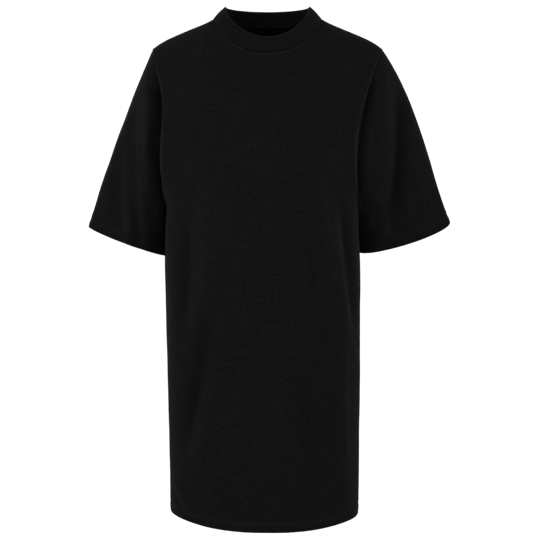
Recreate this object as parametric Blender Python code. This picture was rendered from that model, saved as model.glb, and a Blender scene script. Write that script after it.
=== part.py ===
"""T-shirt dress: a loose jersey dress with a stand collar and half sleeves, filled out as if worn.

Metres, +Z up. The front faces -Y and the wearer's left is +X. The origin is the middle of the neck
opening, level with the tops of the shoulders, where the wearer holds the dress up.

Each piece is a wall of cloth. Its outer face is a grid of points worked out from the sizes below, and
its inner face lies one wall inside it. The front and the back are lofted through level sections, the
sleeves from the armholes to the cuffs, and the collar from the neckline to its folded top edge.
"""

import math
from collections import namedtuple

import bpy
import numpy as np

# Cloth
WALL = 0.0015  # one layer of heavy jersey
HEM_WALL = 0.0028  # two layers, where a hem is turned in
COLLAR_WALL = 0.0030  # the collar is folded double
HEM_DEPTH = 0.020
HEM_STEP = 0.0015  # the inside edge of a turned hem slopes over this height
SEAM_GAP = 0.0003

# Heights on the body, from the shoulder line down
CHEST_Z = -0.210  # where the armhole runs furthest forward
UNDERARM_Z = -0.337
HEM_Z = -0.8785

# Neckline: it lies on the front and the back, from one shoulder seam to the other
NECK_HALF_WIDTH = 0.098
NECK_SIDE_Y = 0.005
NECK_MIDDLE_Z = {"front": -0.0665, "back": -0.006}
NECK_DIP_POWER = 1.3  # the neckline stays high beside the neck, then dips
NECK_RIDGE_Z = 0.0170  # the height of the shoulders' line, carried on across the neck

# Collar, at its folded top edge
COLLAR_HALF_WIDTH = 0.0750
COLLAR_SIDE_Y = 0.000
COLLAR_SIDE_Z = 0.024
COLLAR_FRONT_Y = -0.0745
COLLAR_FRONT_Z = -0.0365
COLLAR_BACK_Y = 0.051
COLLAR_BACK_Z = 0.021
COLLAR_ROUND_POWER = 0.8  # seen from above: 1 is an ellipse, and less is squarer
COLLAR_BELLY = 0.0015  # the band bows out between its seam and its fold

# Shoulder seams: a curve from the neckline to the top of the armhole, pulled towards two points
SHOULDER_TIP_Z = -0.053
SHOULDER_TIP_Y = 0.003
SHOULDER_NECK_PULL = (0.130, -0.0175)
SHOULDER_TIP_PULL = (0.185, -0.0315)

# Body
SECTION_POWERS = {"front": 2.5, "back": 2.3}  # 2 is an ellipse, and more is squarer
YOKE_POWERS = {"front": 1.7, "back": 2.4}  # how squarely the cloth rounds over the shoulders
ARMHOLE_FRONT_Y = -0.090
ARMHOLE_BACK_Y = 0.088
ARMHOLE_POWER = 0.68  # seen from the side, how round the armhole's bottom is: 0.5 is an ellipse
HEM_DROPS = {"front": 0.015, "back": 0.004}  # at the middle of each panel
LEFT_HEM_DROP = 0.006  # the hem hangs lower at the wearer's left

# The edge of the front and the back: the side seam, then the armhole seam
Edge = namedtuple("Edge", "z right_x left_x")
EDGES = [
    Edge(-0.8785, -0.1757, 0.1648),
    Edge(-0.820, -0.1767, 0.1656),
    Edge(-0.700, -0.1785, 0.1654),
    Edge(-0.600, -0.1810, 0.1670),
    Edge(-0.500, -0.1838, 0.1671),
    Edge(-0.425, -0.1856, 0.1669),
    Edge(-0.385, -0.1840, 0.1652),
    Edge(-0.360, -0.1828, 0.1650),
    Edge(-0.337, -0.1830, 0.1652),
    Edge(-0.300, -0.1850, 0.1585),
    Edge(-0.250, -0.1868, 0.1554),
    Edge(-0.210, -0.1840, 0.1568),
    Edge(-0.170, -0.1818, 0.1635),
    Edge(-0.140, -0.1832, 0.1712),
    Edge(-0.110, -0.1890, 0.1805),
    Edge(-0.080, -0.1985, 0.1925),
    Edge(-0.053, -0.2050, 0.2055),
]

# The body from the side: its side seam and the middles of its front and its back
Depth = namedtuple("Depth", "z seam_y front_y back_y")
DEPTHS = [
    Depth(-0.8785, 0.000, -0.122, 0.116),
    Depth(-0.640, 0.000, -0.123, 0.113),
    Depth(-0.530, 0.004, -0.125, 0.112),
    Depth(-0.430, 0.015, -0.126, 0.113),
    Depth(-0.337, 0.029, -0.127, 0.115),
    Depth(-0.270, 0.030, -0.128, 0.118),
    Depth(-0.210, 0.030, -0.127, 0.119),
]

# Cuffs: the ends of each opening, its half depth, and how far its front edge hangs and lies back
Cuff = namedtuple("Cuff", "outer inner half_depth front_drop set_back")
CUFFS = {
    "right": Cuff((-0.3225, 0.008, -0.368), (-0.1842, 0.058, -0.4225), 0.046, 0.004, 0.000),
    "left": Cuff((0.3300, 0.008, -0.361), (0.1655, 0.058, -0.4145), 0.037, 0.014, 0.004),
}
# How the cloth runs at the two ends of a sleeve, over the arm and under it
Way = namedtuple("Way", "outward back down")
ARMHOLE_OVER = {"right": Way(0.42, 0.00, 0.91), "left": Way(0.58, 0.00, 0.81)}
ARMHOLE_UNDER = {"right": Way(0.14, 0.30, 0.94), "left": Way(0.10, 0.42, 0.90)}
ARMHOLE_SIDEWAYS = 0.12  # the sleeve's front draws back and its back draws forward
CUFF_OVER = {"right": Way(0.30, 0.02, 0.95), "left": Way(0.37, 0.02, 0.93)}
CUFF_UNDER = Way(0.02, 0.10, 0.99)
MITRE_FROM = 0.06  # how steeply a sleeve falls away from the body where their walls meet in a mitre
SLEEVE_REACH = 0.33  # how far these directions reach, as a share of the sleeve's length there
# Beside its armhole a sleeve sinks into a valley, which is deepest a little outside the seam
VALLEY_DEPTHS = {"front": 0.022, "back": 0.016}
VALLEY_AT = 0.010
VALLEY_REACH = 0.019
VALLEY_TOP_Z = (-0.070, -0.115)  # where it starts, and where it is whole
VALLEY_LOW_Z = (-0.350, -0.250)  # where it ends, and where it is still whole
VALLEY_ROUND = 0.6  # the share of the way round from the seam lines over which it comes in

FOLD_FADE = 0.3  # the share of a fold's length over which each of its ends fades
SLEEVE_FOLD_START = 0.15  # the share of a sleeve's length over which its folds come in
SLEEVE_FOLD_POWER = 0.7  # how broadly they run before they die out at its seam lines
# The largest folds, each a soft ridge (height above 0) or trough along a bowed, nearly upright line
Fold = namedtuple("Fold", "face top_x top_z low_x low_z bow width height")
FOLDS = [
    Fold("front", -0.1150, -0.250, -0.1385, -0.620, 0.008, 0.017, 0.0050),
    Fold("front", -0.1400, -0.350, -0.1480, -0.530, 0.000, 0.014, -0.0050),
    Fold("front", -0.1040, -0.480, -0.1530, -0.760, 0.010, 0.016, -0.0060),
    Fold("front", -0.0900, -0.580, -0.1440, -0.820, 0.004, 0.017, 0.0045),
    Fold("front", 0.0880, -0.270, 0.1480, -0.590, -0.004, 0.017, 0.0060),
    Fold("front", 0.1220, -0.300, 0.1490, -0.500, 0.004, 0.013, -0.0050),
    Fold("front", 0.1270, -0.520, 0.1380, -0.850, 0.000, 0.014, 0.0040),
    Fold("back", -0.1080, -0.300, -0.1360, -0.700, 0.006, 0.018, 0.0055),
    Fold("back", -0.1360, -0.380, -0.1450, -0.640, 0.000, 0.014, -0.0050),
    Fold("back", 0.0960, -0.260, 0.1240, -0.620, 0.006, 0.018, 0.0055),
    Fold("back", 0.0700, -0.480, 0.1060, -0.820, 0.004, 0.018, -0.0050),
    Fold("right_front", -0.2160, -0.080, -0.2240, -0.370, 0.002, 0.013, 0.0080),
    Fold("right_front", -0.2360, -0.210, -0.2380, -0.400, 0.000, 0.010, -0.0035),
    Fold("right_front", -0.2500, -0.210, -0.2540, -0.410, 0.000, 0.014, 0.0055),
    Fold("right_back", -0.2080, -0.100, -0.2220, -0.380, 0.004, 0.016, 0.0065),
    Fold("left_front", 0.2160, -0.070, 0.2050, -0.370, 0.000, 0.014, 0.0075),
    Fold("left_front", 0.2380, -0.100, 0.2440, -0.360, 0.000, 0.016, -0.0070),
    Fold("left_back", 0.2060, -0.100, 0.2180, -0.380, 0.004, 0.016, 0.0065),
]

# Grid sizes
SHOULDER_COLUMNS = 6
NECK_COLUMNS = 20
NECK_SHARE = 0.66  # the share of a panel's columns that end at the neckline
SKIRT_ROWS = 13
UNDERARM_ROWS = 7
YOKE_ROWS = 10
SLEEVE_ROWS = 14
COLLAR_ROWS = 4
CROWN_STEPS = 4

# Cloth colour and finish
JERSEY_BLACK = (0.0105, 0.0105, 0.0112, 1.0)
JERSEY_ROUGHNESS = 0.92


def smooth_curve(knots, values, at):
    """Reads a smooth curve through a table's values at its knots."""
    knots, values = np.array(knots, float), np.array(values, float)
    slopes = np.gradient(values, knots)
    low = np.clip(np.searchsorted(knots, at) - 1, 0, len(knots) - 2)
    span = knots[low + 1] - knots[low]
    t = np.clip((at - knots[low]) / span, 0.0, 1.0)
    start = values[low] * (1 + 2 * t) * (1 - t) ** 2 + slopes[low] * span * t * (1 - t) ** 2
    end = values[low + 1] * (3 - 2 * t) * t**2 - slopes[low + 1] * span * t**2 * (1 - t)
    return start + end


def read(table, column, z):
    """A column of a table of levels, read at height z."""
    return smooth_curve([row.z for row in table], [getattr(row, column) for row in table], z)


def ramp(x):
    """Rises smoothly from 0 at 0 to 1 at 1."""
    x = np.clip(x, 0.0, 1.0)
    return x * x * (3 - 2 * x)


def unit(vectors):
    """Vectors at length 1."""
    return vectors / np.maximum(np.linalg.norm(vectors, axis=-1, keepdims=True), 1e-12)


def columns():
    """Places of the columns across a panel, from -1 at the wearer's right to 1 at the left."""
    right = np.linspace(-1, -NECK_SHARE, SHOULDER_COLUMNS + 1)
    neck = np.linspace(-NECK_SHARE, NECK_SHARE, NECK_COLUMNS + 1)
    return np.concatenate([right, neck[1:], -right[::-1][1:]])


def edge_y(z, face):
    """How far forward or back the side seam or the armhole seam lies at height z."""
    seam = read(DEPTHS, "seam_y", z)
    reach = ARMHOLE_FRONT_Y if face == "front" else ARMHOLE_BACK_Y
    below = np.clip((CHEST_Z - z) / (CHEST_Z - UNDERARM_Z), 0.0, 1.0)
    return seam + (reach - seam) * (1 - below**2) ** ARMHOLE_POWER


def section_shape(z, face):
    """The middle, half width, seam line, depth and first angle of a level superellipse section."""
    right, left = read(EDGES, "right_x", z), read(EDGES, "left_x", z)
    seam = read(DEPTHS, "seam_y", z)
    depth = read(DEPTHS, face + "_y", z) - seam
    power = SECTION_POWERS[face]
    first = math.asin(min(1.0, ((edge_y(z, face) - seam) / depth) ** (power / 2)))
    half_width = (left - right) / 2 / math.cos(first) ** (2 / power)
    return (right + left) / 2, half_width, seam, depth, first


def level_section(z, u, face):
    """Points across the front or the back at a level height, each half a superellipse arc."""
    middle, half_width, seam, depth, first = section_shape(z, face)
    power = 2 / SECTION_POWERS[face]
    angle = math.pi / 2 - np.abs(u) * (math.pi / 2 - first)
    x = middle + np.sign(u) * half_width * np.cos(angle) ** power
    y = seam + depth * np.sin(angle) ** power
    return np.stack([x, y, np.full_like(u, z)], axis=-1)


def chest_y(x, face):
    """How far forward or back the cloth lies at chest height, at x."""
    middle, half_width, seam, depth, _ = section_shape(CHEST_Z, face)
    power = SECTION_POWERS[face]
    return seam + depth * (1 - np.clip(np.abs(x - middle) / half_width, 0, 1) ** power) ** (1 / power)


def shoulder_ridge(u):
    """The shoulder seams, and the line that carries them on across the neck."""
    angle = np.clip(u / NECK_SHARE, -1, 1) * math.pi / 2
    ahead = np.clip(np.cos(angle), 0, 1)
    level = np.full_like(u, NECK_SIDE_Y)
    neck = np.stack([NECK_HALF_WIDTH * np.sin(angle), level, NECK_RIDGE_Z * ahead**2], axis=-1)
    t = np.clip((np.abs(u) - NECK_SHARE) / (1 - NECK_SHARE), 0, 1)
    start, near, far, end = (1 - t) ** 3, 3 * t * (1 - t) ** 2, 3 * t**2 * (1 - t), t**3
    right_tip, left_tip = EDGES[-1].right_x, EDGES[-1].left_x
    tip = np.where(u < 0, -right_tip, left_tip)
    x = start * NECK_HALF_WIDTH + near * SHOULDER_NECK_PULL[0] + far * SHOULDER_TIP_PULL[0] + end * tip
    y = (start + near) * NECK_SIDE_Y + (far + end) * SHOULDER_TIP_Y
    z = near * SHOULDER_NECK_PULL[1] + far * SHOULDER_TIP_PULL[1] + end * SHOULDER_TIP_Z
    shoulder = np.stack([np.sign(u) * x, y, z], axis=-1)
    return np.where(t[:, None] > 0, shoulder, neck)


def yoke_section(rise, u, face):
    """Points across a panel above the chest: rise is 0 at the chest and 1 at the top edge."""
    low, ridge = level_section(CHEST_Z, u, face), shoulder_ridge(u)
    power = 2 / YOKE_POWERS[face]
    ahead = np.clip(np.cos(np.clip(u / NECK_SHARE, -1, 1) * math.pi / 2), 0, 1)
    top_z = np.where(np.abs(u) < NECK_SHARE, NECK_MIDDLE_Z[face] * ahead**NECK_DIP_POWER, ridge[:, 2])
    top_climb = (top_z - CHEST_Z) / (ridge[:, 2] - CHEST_Z)
    turn = rise * np.arcsin(np.clip(top_climb, 0, 1) ** (1 / power))
    climb = np.sin(turn) ** power
    lean = 1 - np.clip(np.cos(turn), 0, 1) ** power
    z = CHEST_Z + (ridge[:, 2] - CHEST_Z) * climb

    straight_x = low[:, 0] + (ridge[:, 0] - low[:, 0]) * climb / top_climb
    right, left = read(EDGES, "right_x", z[0]), read(EDGES, "left_x", z[-1])
    armhole_shift = np.where(u < 0, right - straight_x[0], left - straight_x[-1])
    beside_armhole = ramp((np.abs(u) - NECK_SHARE) / (1 - NECK_SHARE))
    x = straight_x + armhole_shift * beside_armhole
    low_y = chest_y(x + (low[:, 0] - x) * beside_armhole, face)
    y = low_y + (ridge[:, 1] - low_y) * lean
    return np.stack([x, y, z], axis=-1)


def panel(face):
    """The front's or the back's outer face: rows of points from the hem to the top edge."""
    u = columns()
    hem_top = HEM_Z + HEM_DEPTH
    skirt = np.linspace(hem_top + HEM_STEP, UNDERARM_Z, SKIRT_ROWS + 1)
    around_armhole = np.sin(np.linspace(math.pi / 2, 0, UNDERARM_ROWS + 1))
    heights = [HEM_Z, hem_top, *skirt, *(CHEST_Z - (CHEST_Z - UNDERARM_Z) * around_armhole[1:])]
    rows = [level_section(z, u, face) for z in heights]
    rows += [yoke_section(rise, u, face) for rise in np.linspace(0, 1, YOKE_ROWS + 1)[1:]]
    points = np.array(rows)
    drop = HEM_DROPS[face] * np.cos(u * math.pi / 2) ** 3 + LEFT_HEM_DROP * ramp((1 + u) / 2)
    below = np.clip((UNDERARM_Z - points[..., 2]) / (UNDERARM_Z - HEM_Z), 0, 1)
    points[..., 2] -= drop * below**2
    return points


def armhole(front, back, side):
    """The armhole's loop: from the shoulder tip down the front, and up the back."""
    column = 0 if side == "right" else -1
    underarm_row = 2 + SKIRT_ROWS
    down = front[underarm_row:, column][::-1]
    up = back[underarm_row:, column]
    return np.concatenate([down, up[1:-1]])


def loop_shares(loop):
    """How far round a closed loop each of its points is, from 0 to 1."""
    steps = np.linalg.norm(np.roll(loop, -1, axis=0) - loop, axis=1)
    return np.concatenate([[0], np.cumsum(steps)[:-1]]) / steps.sum()


def cuff_loop(shares, side):
    """The cuff's edge, from its outer end round the front to its inner end, and back."""
    cuff = CUFFS[side]
    outer, inner = np.array(cuff.outer), np.array(cuff.inner)
    angle = shares * 2 * math.pi
    forward = np.sin(angle)[:, None]
    middle, half = (outer + inner) / 2, (outer - inner) / 2
    across = middle + half * np.cos(angle)[:, None]
    depth = np.array([0.0, -cuff.half_depth, -cuff.front_drop])
    shift = np.array([0.0, cuff.set_back, 0.0])
    return across + depth * forward + shift * np.abs(forward)


def sleeve_ways(over, under, sideways, shares, side):
    """How the cloth runs round one end of a sleeve, turning from over the arm to under it."""
    outward = -1 if side == "right" else 1
    over, under = (np.array([outward * way.outward, way.back, -way.down]) for way in (over, under))
    angle = (shares * 2 * math.pi)[:, None]
    ways = (over + under) / 2 + (over - under) / 2 * np.cos(angle)
    return unit(ways + np.array([0.0, sideways, 0.0]) * np.sin(angle))


def sleeve(loop, side):
    """A sleeve's outer face: rings of points from the armhole to the cuff."""
    shares = loop_shares(loop)
    cuff = cuff_loop(shares, side)
    length = np.linalg.norm(cuff - loop, axis=1)
    reach = (SLEEVE_REACH * length)[:, None]
    over, under = ARMHOLE_OVER[side], ARMHOLE_UNDER[side]
    first = loop + sleeve_ways(over, under, ARMHOLE_SIDEWAYS, shares, side) * reach
    last = cuff - sleeve_ways(CUFF_OVER[side], CUFF_UNDER, 0.0, shares, side) * reach
    hem_top = 1 - HEM_DEPTH / length
    hem_start = 1 - (HEM_DEPTH + HEM_STEP) / length
    places = [share * hem_start for share in np.linspace(0, 1, SLEEVE_ROWS + 1)]
    places += [hem_top, np.ones_like(length)]
    rings = []
    for place in places:
        t = place[:, None]
        ends = loop * (1 - t) ** 3 + cuff * t**3
        rings.append(ends + first * 3 * t * (1 - t) ** 2 + last * 3 * t**2 * (1 - t))
    return np.array(rings)


def sink_valleys(rings, side):
    """Sinks a valley into a sleeve beside the front and the back of its armhole."""
    outward = -1 if side == "right" else 1
    x, z = rings[..., 0], rings[..., 2]
    beyond = outward * (x - read(EDGES, side + "_x", z))
    profile = ramp(beyond / VALLEY_AT) * np.exp(-((beyond / VALLEY_REACH) ** 2))
    start, whole = VALLEY_TOP_Z
    end, still_whole = VALLEY_LOW_Z
    fade = ramp((start - z) / (start - whole)) * ramp((z - end) / (still_whole - end))
    turn = np.sin(loop_shares(rings[0]) * 2 * math.pi)
    depth = np.where(turn > 0, VALLEY_DEPTHS["front"], -VALLEY_DEPTHS["back"])
    sunk = rings.copy()
    sunk[..., 1] += profile * fade * depth * ramp(np.abs(turn) / VALLEY_ROUND)
    return sunk


def grid_normals(points, closed_rows, closed_columns):
    """Outward normals of a grid whose columns run to the right of its rows, seen from outside."""
    def steps(axis, closed):
        if closed:
            return np.roll(points, -1, axis) - np.roll(points, 1, axis)
        return np.gradient(points, axis=axis)

    return unit(np.cross(steps(1, closed_columns), steps(0, closed_rows)))


def fold_height(points, face):
    """How far the folds of one face lift the cloth at each point."""
    x, z = points[..., 0], points[..., 2]
    total = np.zeros_like(x)
    for fold in FOLDS:
        if fold.face != face:
            continue
        along = (fold.top_z - z) / (fold.top_z - fold.low_z)
        line = fold.top_x + (fold.low_x - fold.top_x) * along + fold.bow * 4 * along * (1 - along)
        fade = ramp(along / FOLD_FADE) * ramp((1 - along) / FOLD_FADE)
        total += fold.height * fade * np.exp(-(((x - line) / fold.width) ** 2))
    return total


def fold_panel(points, face):
    """Raises a panel's folds, which die out at its seams."""
    rows = np.linspace(0, 1, len(points))[:, None]
    fade = (1 - np.abs(columns()) ** 6) * (1 - rows**8)
    normals = grid_normals(points, False, False) * (1 if face == "front" else -1)
    return points + normals * (fold_height(points, face) * fade)[..., None]


def fold_sleeve(rings, side):
    """Raises a sleeve's folds on its front and its back; they die out at its seam lines."""
    shares = loop_shares(rings[0])
    turn = np.sin(shares * 2 * math.pi)
    front = np.clip(turn, 0, 1) ** SLEEVE_FOLD_POWER
    back = np.clip(-turn, 0, 1) ** SLEEVE_FOLD_POWER
    lift = fold_height(rings, side + "_front") * front + fold_height(rings, side + "_back") * back
    along = np.linspace(0, 1, len(rings))[:, None]
    normals = sleeve_normals(rings, side)
    return rings + normals * (lift * ramp(along / SLEEVE_FOLD_START))[..., None]


def sleeve_normals(rings, side):
    """Outward normals of a sleeve."""
    return grid_normals(rings, False, True) * (1 if side == "left" else -1)


def body_normals(front, back):
    """Outward normals of both panels, which agree along the side seams and the shoulder seams."""
    normals = [grid_normals(front, False, False), -grid_normals(back, False, False)]
    side_rows = 2 + SKIRT_ROWS + 1
    shoulder = SHOULDER_COLUMNS + 1
    for edge in ((slice(0, side_rows), 0), (slice(0, side_rows), -1), (-1, slice(0, shoulder)),
                 (-1, slice(-shoulder, None))):
        shared = unit(normals[0][edge] + normals[1][edge])
        normals[0][edge], normals[1][edge] = shared, shared
    return normals


def share_armhole_normals(panels, rings, ring_normals, side):
    """Mitres the two walls at the armhole where the cloth rounds away, but not in its inner corners."""
    column = 0 if side == "right" else -1
    underarm_row = 2 + SKIRT_ROWS
    down = panels[0][underarm_row:, column][::-1]
    up = panels[1][underarm_row:, column]
    body = np.concatenate([down, up[1:-1]])
    falls_away = -(unit(rings[1] - rings[0]) * body).sum(-1, keepdims=True)
    blend = ramp(falls_away / MITRE_FROM)
    shared = unit(body + ring_normals[0])
    ring_normals[0] = unit(ring_normals[0] + (shared - ring_normals[0]) * blend)
    body = unit(body + (shared - body) * blend)
    rows = len(down)
    panels[0][underarm_row:, column] = body[:rows][::-1]
    panels[1][underarm_row:, column] = np.concatenate([body[rows - 1:], body[:1]])


def draw_back(points, edge, neighbour, closed=False):
    """Moves one edge of a grid half a seam gap into its piece, square to the seam."""
    line = points[edge].copy()
    along = np.roll(line, -1, 0) - np.roll(line, 1, 0) if closed else np.gradient(line, axis=0)
    along = unit(along)
    inward = points[neighbour] - line
    inward = inward - along * (inward * along).sum(-1, keepdims=True)
    points[edge] = line + unit(inward) * SEAM_GAP / 2


def wall_faces(rows, columns_count, ring):
    """Faces of a closed wall whose points run up the outer face, then down the inner face."""
    faces = []
    spans = columns_count if ring else columns_count - 1
    for row in range(rows):
        above = (row + 1) % rows
        for column in range(spans):
            beside = (column + 1) % columns_count
            faces.append([row * columns_count + column, row * columns_count + beside,
                          above * columns_count + beside, above * columns_count + column])
    if not ring:
        for row in range(rows // 2 - 1):
            inner, inner_above = rows - 1 - row, rows - 2 - row
            for column, order in ((0, 1), (columns_count - 1, -1)):
                rim = [row, row + 1, inner_above, inner][::order]
                faces.append([place * columns_count + column for place in rim])
    return faces


def add_piece(name, points, ring, flip, collection):
    """One closed, outward-facing wall of cloth, from points that run up its outer face and back down."""
    faces = wall_faces(len(points), points.shape[1], ring)
    if flip:
        faces = [face[::-1] for face in faces]
    mesh = bpy.data.meshes.new(name)
    mesh.from_pydata(points.reshape(-1, 3).tolist(), [], faces)
    mesh.validate()
    mesh.shade_smooth()
    mesh.set_sharp_from_angle(angle=math.radians(50))
    mesh.materials.append(jersey("jersey_" + name))
    piece = bpy.data.objects.new(name, mesh)
    collection.objects.link(piece)


def neckline_ring():
    """The neckline, from the wearer's right round the front to the left, then round the back."""
    u = np.linspace(-NECK_SHARE, NECK_SHARE, NECK_COLUMNS + 1)
    u = np.concatenate([[-1], u, [1]])
    front, back = (yoke_section(1.0, u, face)[1:-1] for face in ("front", "back"))
    return np.concatenate([front, back[::-1][1:-1]])


def collar_fold_ring():
    """The collar's folded top edge, in step with the neckline."""
    turn = np.linspace(-math.pi / 2, 3 * math.pi / 2, 2 * NECK_COLUMNS, endpoint=False)
    ahead = np.clip(np.cos(turn), 0, 1)[:, None]
    behind = np.clip(-np.cos(turn), 0, 1)[:, None]
    side = np.array([COLLAR_SIDE_Y, COLLAR_SIDE_Z])
    front = np.array([COLLAR_FRONT_Y, COLLAR_FRONT_Z])
    back = np.array([COLLAR_BACK_Y, COLLAR_BACK_Z])
    powers = np.array([COLLAR_ROUND_POWER, NECK_DIP_POWER])
    depth_and_height = side + (front - side) * ahead**powers + (back - side) * behind**powers
    return np.column_stack([COLLAR_HALF_WIDTH * np.sin(turn), depth_and_height])


def build_collar(collection):
    """The collar, a band folded double with a rounded top edge."""
    seam, fold = neckline_ring(), collar_fold_ring()
    up = unit(fold - seam)
    around = unit(np.roll(seam, -1, axis=0) - np.roll(seam, 1, axis=0))
    outward = unit(np.cross(around, up))
    radius = COLLAR_WALL / 2
    bottom, top = seam + up * SEAM_GAP / 2, fold - up * radius
    outer, inner = [], []
    for share in np.linspace(0, 1, COLLAR_ROWS + 1):
        face = bottom + (top - bottom) * share + outward * COLLAR_BELLY * math.sin(share * math.pi)
        outer.append(face)
        inner.append(face - outward * COLLAR_WALL)
    crown_middle = top - outward * radius
    crown = [
        crown_middle + (outward * math.cos(turn) + up * math.sin(turn)) * radius
        for turn in np.linspace(0, math.pi, CROWN_STEPS + 1)[1:-1]
    ]
    add_piece("collar", np.array(outer + crown + inner[::-1]), True, False, collection)


def jersey(name):
    """Matt black cotton jersey."""
    material = bpy.data.materials.new(name)
    material.use_nodes = True
    shader = material.node_tree.nodes["Principled BSDF"]
    shader.inputs["Base Color"].default_value = JERSEY_BLACK
    shader.inputs["Roughness"].default_value = JERSEY_ROUGHNESS
    shader.inputs["Metallic"].default_value = 0.0
    material.diffuse_color = JERSEY_BLACK
    return material


def hemmed_wall(outer, normals, hem):
    """The outer face's points, then its inner face's in turn, thicker at the two rows of a hem."""
    walls = np.full(len(outer), WALL)
    walls[hem] = HEM_WALL
    inner = outer - normals * walls[:, None, None]
    return np.concatenate([outer, inner[::-1]])


def build_dress():
    """All five pieces of the dress."""
    for old in list(bpy.data.objects):
        bpy.data.objects.remove(old)
    collection = bpy.data.collections.new("t_shirt_dress")
    bpy.context.scene.collection.children.link(collection)

    flat_front, flat_back = panel("front"), panel("back")
    panels = [fold_panel(flat_front, "front"), fold_panel(flat_back, "back")]
    normals = body_normals(*panels)
    for side in ("right", "left"):
        rings = sleeve(armhole(flat_front, flat_back, side), side)
        rings = fold_sleeve(sink_valleys(rings, side), side)
        ring_normals = sleeve_normals(rings, side)
        share_armhole_normals(normals, rings, ring_normals, side)
        draw_back(rings, 0, 1, closed=True)
        wall = hemmed_wall(rings, ring_normals, slice(-2, None))
        add_piece("sleeve_" + side, wall, True, side == "right", collection)
    for name, points, outward in zip(("front", "back"), panels, normals):
        draw_back(points, (slice(None), 0), (slice(None), 1))
        draw_back(points, (slice(None), -1), (slice(None), -2))
        draw_back(points, -1, -2)
        wall = hemmed_wall(points, outward, slice(0, 2))
        add_piece(name, wall, False, name == "back", collection)
    build_collar(collection)


build_dress()
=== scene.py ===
"""T-shirt dress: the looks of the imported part.

Metres, +Z up, the front faces -Y and the wearer's left is +X, as in the frame. Each piece of cloth is a
thin closed shell on the form of its CAD node: the same sections on a finer grid, with the large folds
and the valleys beside the armholes fitted closer to the photograph, and with seams, puckers, creases
and stitches added.
"""

import math
from collections import namedtuple

import bpy
import numpy as np
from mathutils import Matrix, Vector

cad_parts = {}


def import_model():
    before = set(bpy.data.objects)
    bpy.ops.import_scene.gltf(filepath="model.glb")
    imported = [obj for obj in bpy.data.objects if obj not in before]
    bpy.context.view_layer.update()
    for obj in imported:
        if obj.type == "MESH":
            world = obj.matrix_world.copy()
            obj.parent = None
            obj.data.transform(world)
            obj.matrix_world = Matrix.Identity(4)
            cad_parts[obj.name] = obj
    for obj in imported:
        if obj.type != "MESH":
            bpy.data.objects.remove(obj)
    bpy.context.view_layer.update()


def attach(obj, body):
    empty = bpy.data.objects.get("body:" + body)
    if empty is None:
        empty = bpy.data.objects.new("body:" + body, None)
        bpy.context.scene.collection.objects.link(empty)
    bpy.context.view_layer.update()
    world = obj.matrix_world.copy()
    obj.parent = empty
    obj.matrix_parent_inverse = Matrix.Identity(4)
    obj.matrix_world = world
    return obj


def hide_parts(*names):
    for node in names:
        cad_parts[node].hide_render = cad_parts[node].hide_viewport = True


FACES = ("front", "back")
SIDES = ("right", "left")
FACING = {"front": 1, "back": -1}
OUTWARD = {"right": -1, "left": 1}
EDGE_COLUMNS = {"right": 0, "left": -1}

# Cloth
WALL = 0.0011
HEM_WALL = 0.0023
COLLAR_WALL = 0.0028
HEM_DEPTH = 0.020
SEAM_GAP = 0.00003
ALLOWANCE_WIDTH = 0.008  # inside, each seam's overlocked edges
ALLOWANCE_WALL = 0.0012
WALL_STEP = 0.0012  # the width over which the wall gets thicker

# Heights on the body, from the shoulder line down
CHEST_Z = -0.210
UNDERARM_Z = -0.337
HEM_Z = -0.8785

# Neckline
NECK_HALF_WIDTH = 0.098
NECK_SIDE_Y = 0.005
NECK_MIDDLE_Z = {"front": -0.0665, "back": -0.006}
NECK_DIP_POWER = 1.3
NECK_RIDGE_Z = 0.0170

# Collar, at its folded top edge
COLLAR_HALF_WIDTH = 0.0750
COLLAR_SIDE_Y = 0.000
COLLAR_SIDE_Z = 0.024
COLLAR_FRONT_Y = -0.0745
COLLAR_FRONT_Z = -0.0365
COLLAR_BACK_Y = 0.051
COLLAR_BACK_Z = 0.021
COLLAR_ROUND_POWER = 0.8
COLLAR_BELLY = 0.0015
COLLAR_DEPTH = 0.030

# Shoulder seams
SHOULDER_TIP_Z = -0.053
SHOULDER_TIP_Y = 0.003
SHOULDER_NECK_PULL = (0.130, -0.0175)
SHOULDER_TIP_PULL = (0.185, -0.0315)

# Body
SECTION_POWERS = {"front": 2.5, "back": 2.3}
YOKE_POWERS = {"front": 1.7, "back": 2.4}
ARMHOLE_Y = {"front": -0.090, "back": 0.088}
ARMHOLE_POWER = 0.68
HEM_DROPS = {"front": 0.015, "back": 0.004}
HEM_DROP_POWER = 3
LEFT_HEM_DROP = 0.006

# The edge of the front and the back: the side seam, then the armhole seam
Edge = namedtuple("Edge", "z right_x left_x")
EDGES = [
    Edge(-0.8785, -0.1757, 0.1648),
    Edge(-0.820, -0.1767, 0.1656),
    Edge(-0.700, -0.1785, 0.1654),
    Edge(-0.600, -0.1810, 0.1670),
    Edge(-0.500, -0.1838, 0.1671),
    Edge(-0.425, -0.1856, 0.1669),
    Edge(-0.385, -0.1840, 0.1652),
    Edge(-0.360, -0.1828, 0.1650),
    Edge(-0.337, -0.1830, 0.1652),
    Edge(-0.300, -0.1850, 0.1585),
    Edge(-0.250, -0.1868, 0.1554),
    Edge(-0.210, -0.1840, 0.1568),
    Edge(-0.170, -0.1818, 0.1635),
    Edge(-0.140, -0.1832, 0.1712),
    Edge(-0.110, -0.1890, 0.1805),
    Edge(-0.080, -0.1985, 0.1925),
    Edge(-0.053, -0.2050, 0.2055),
]

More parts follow.
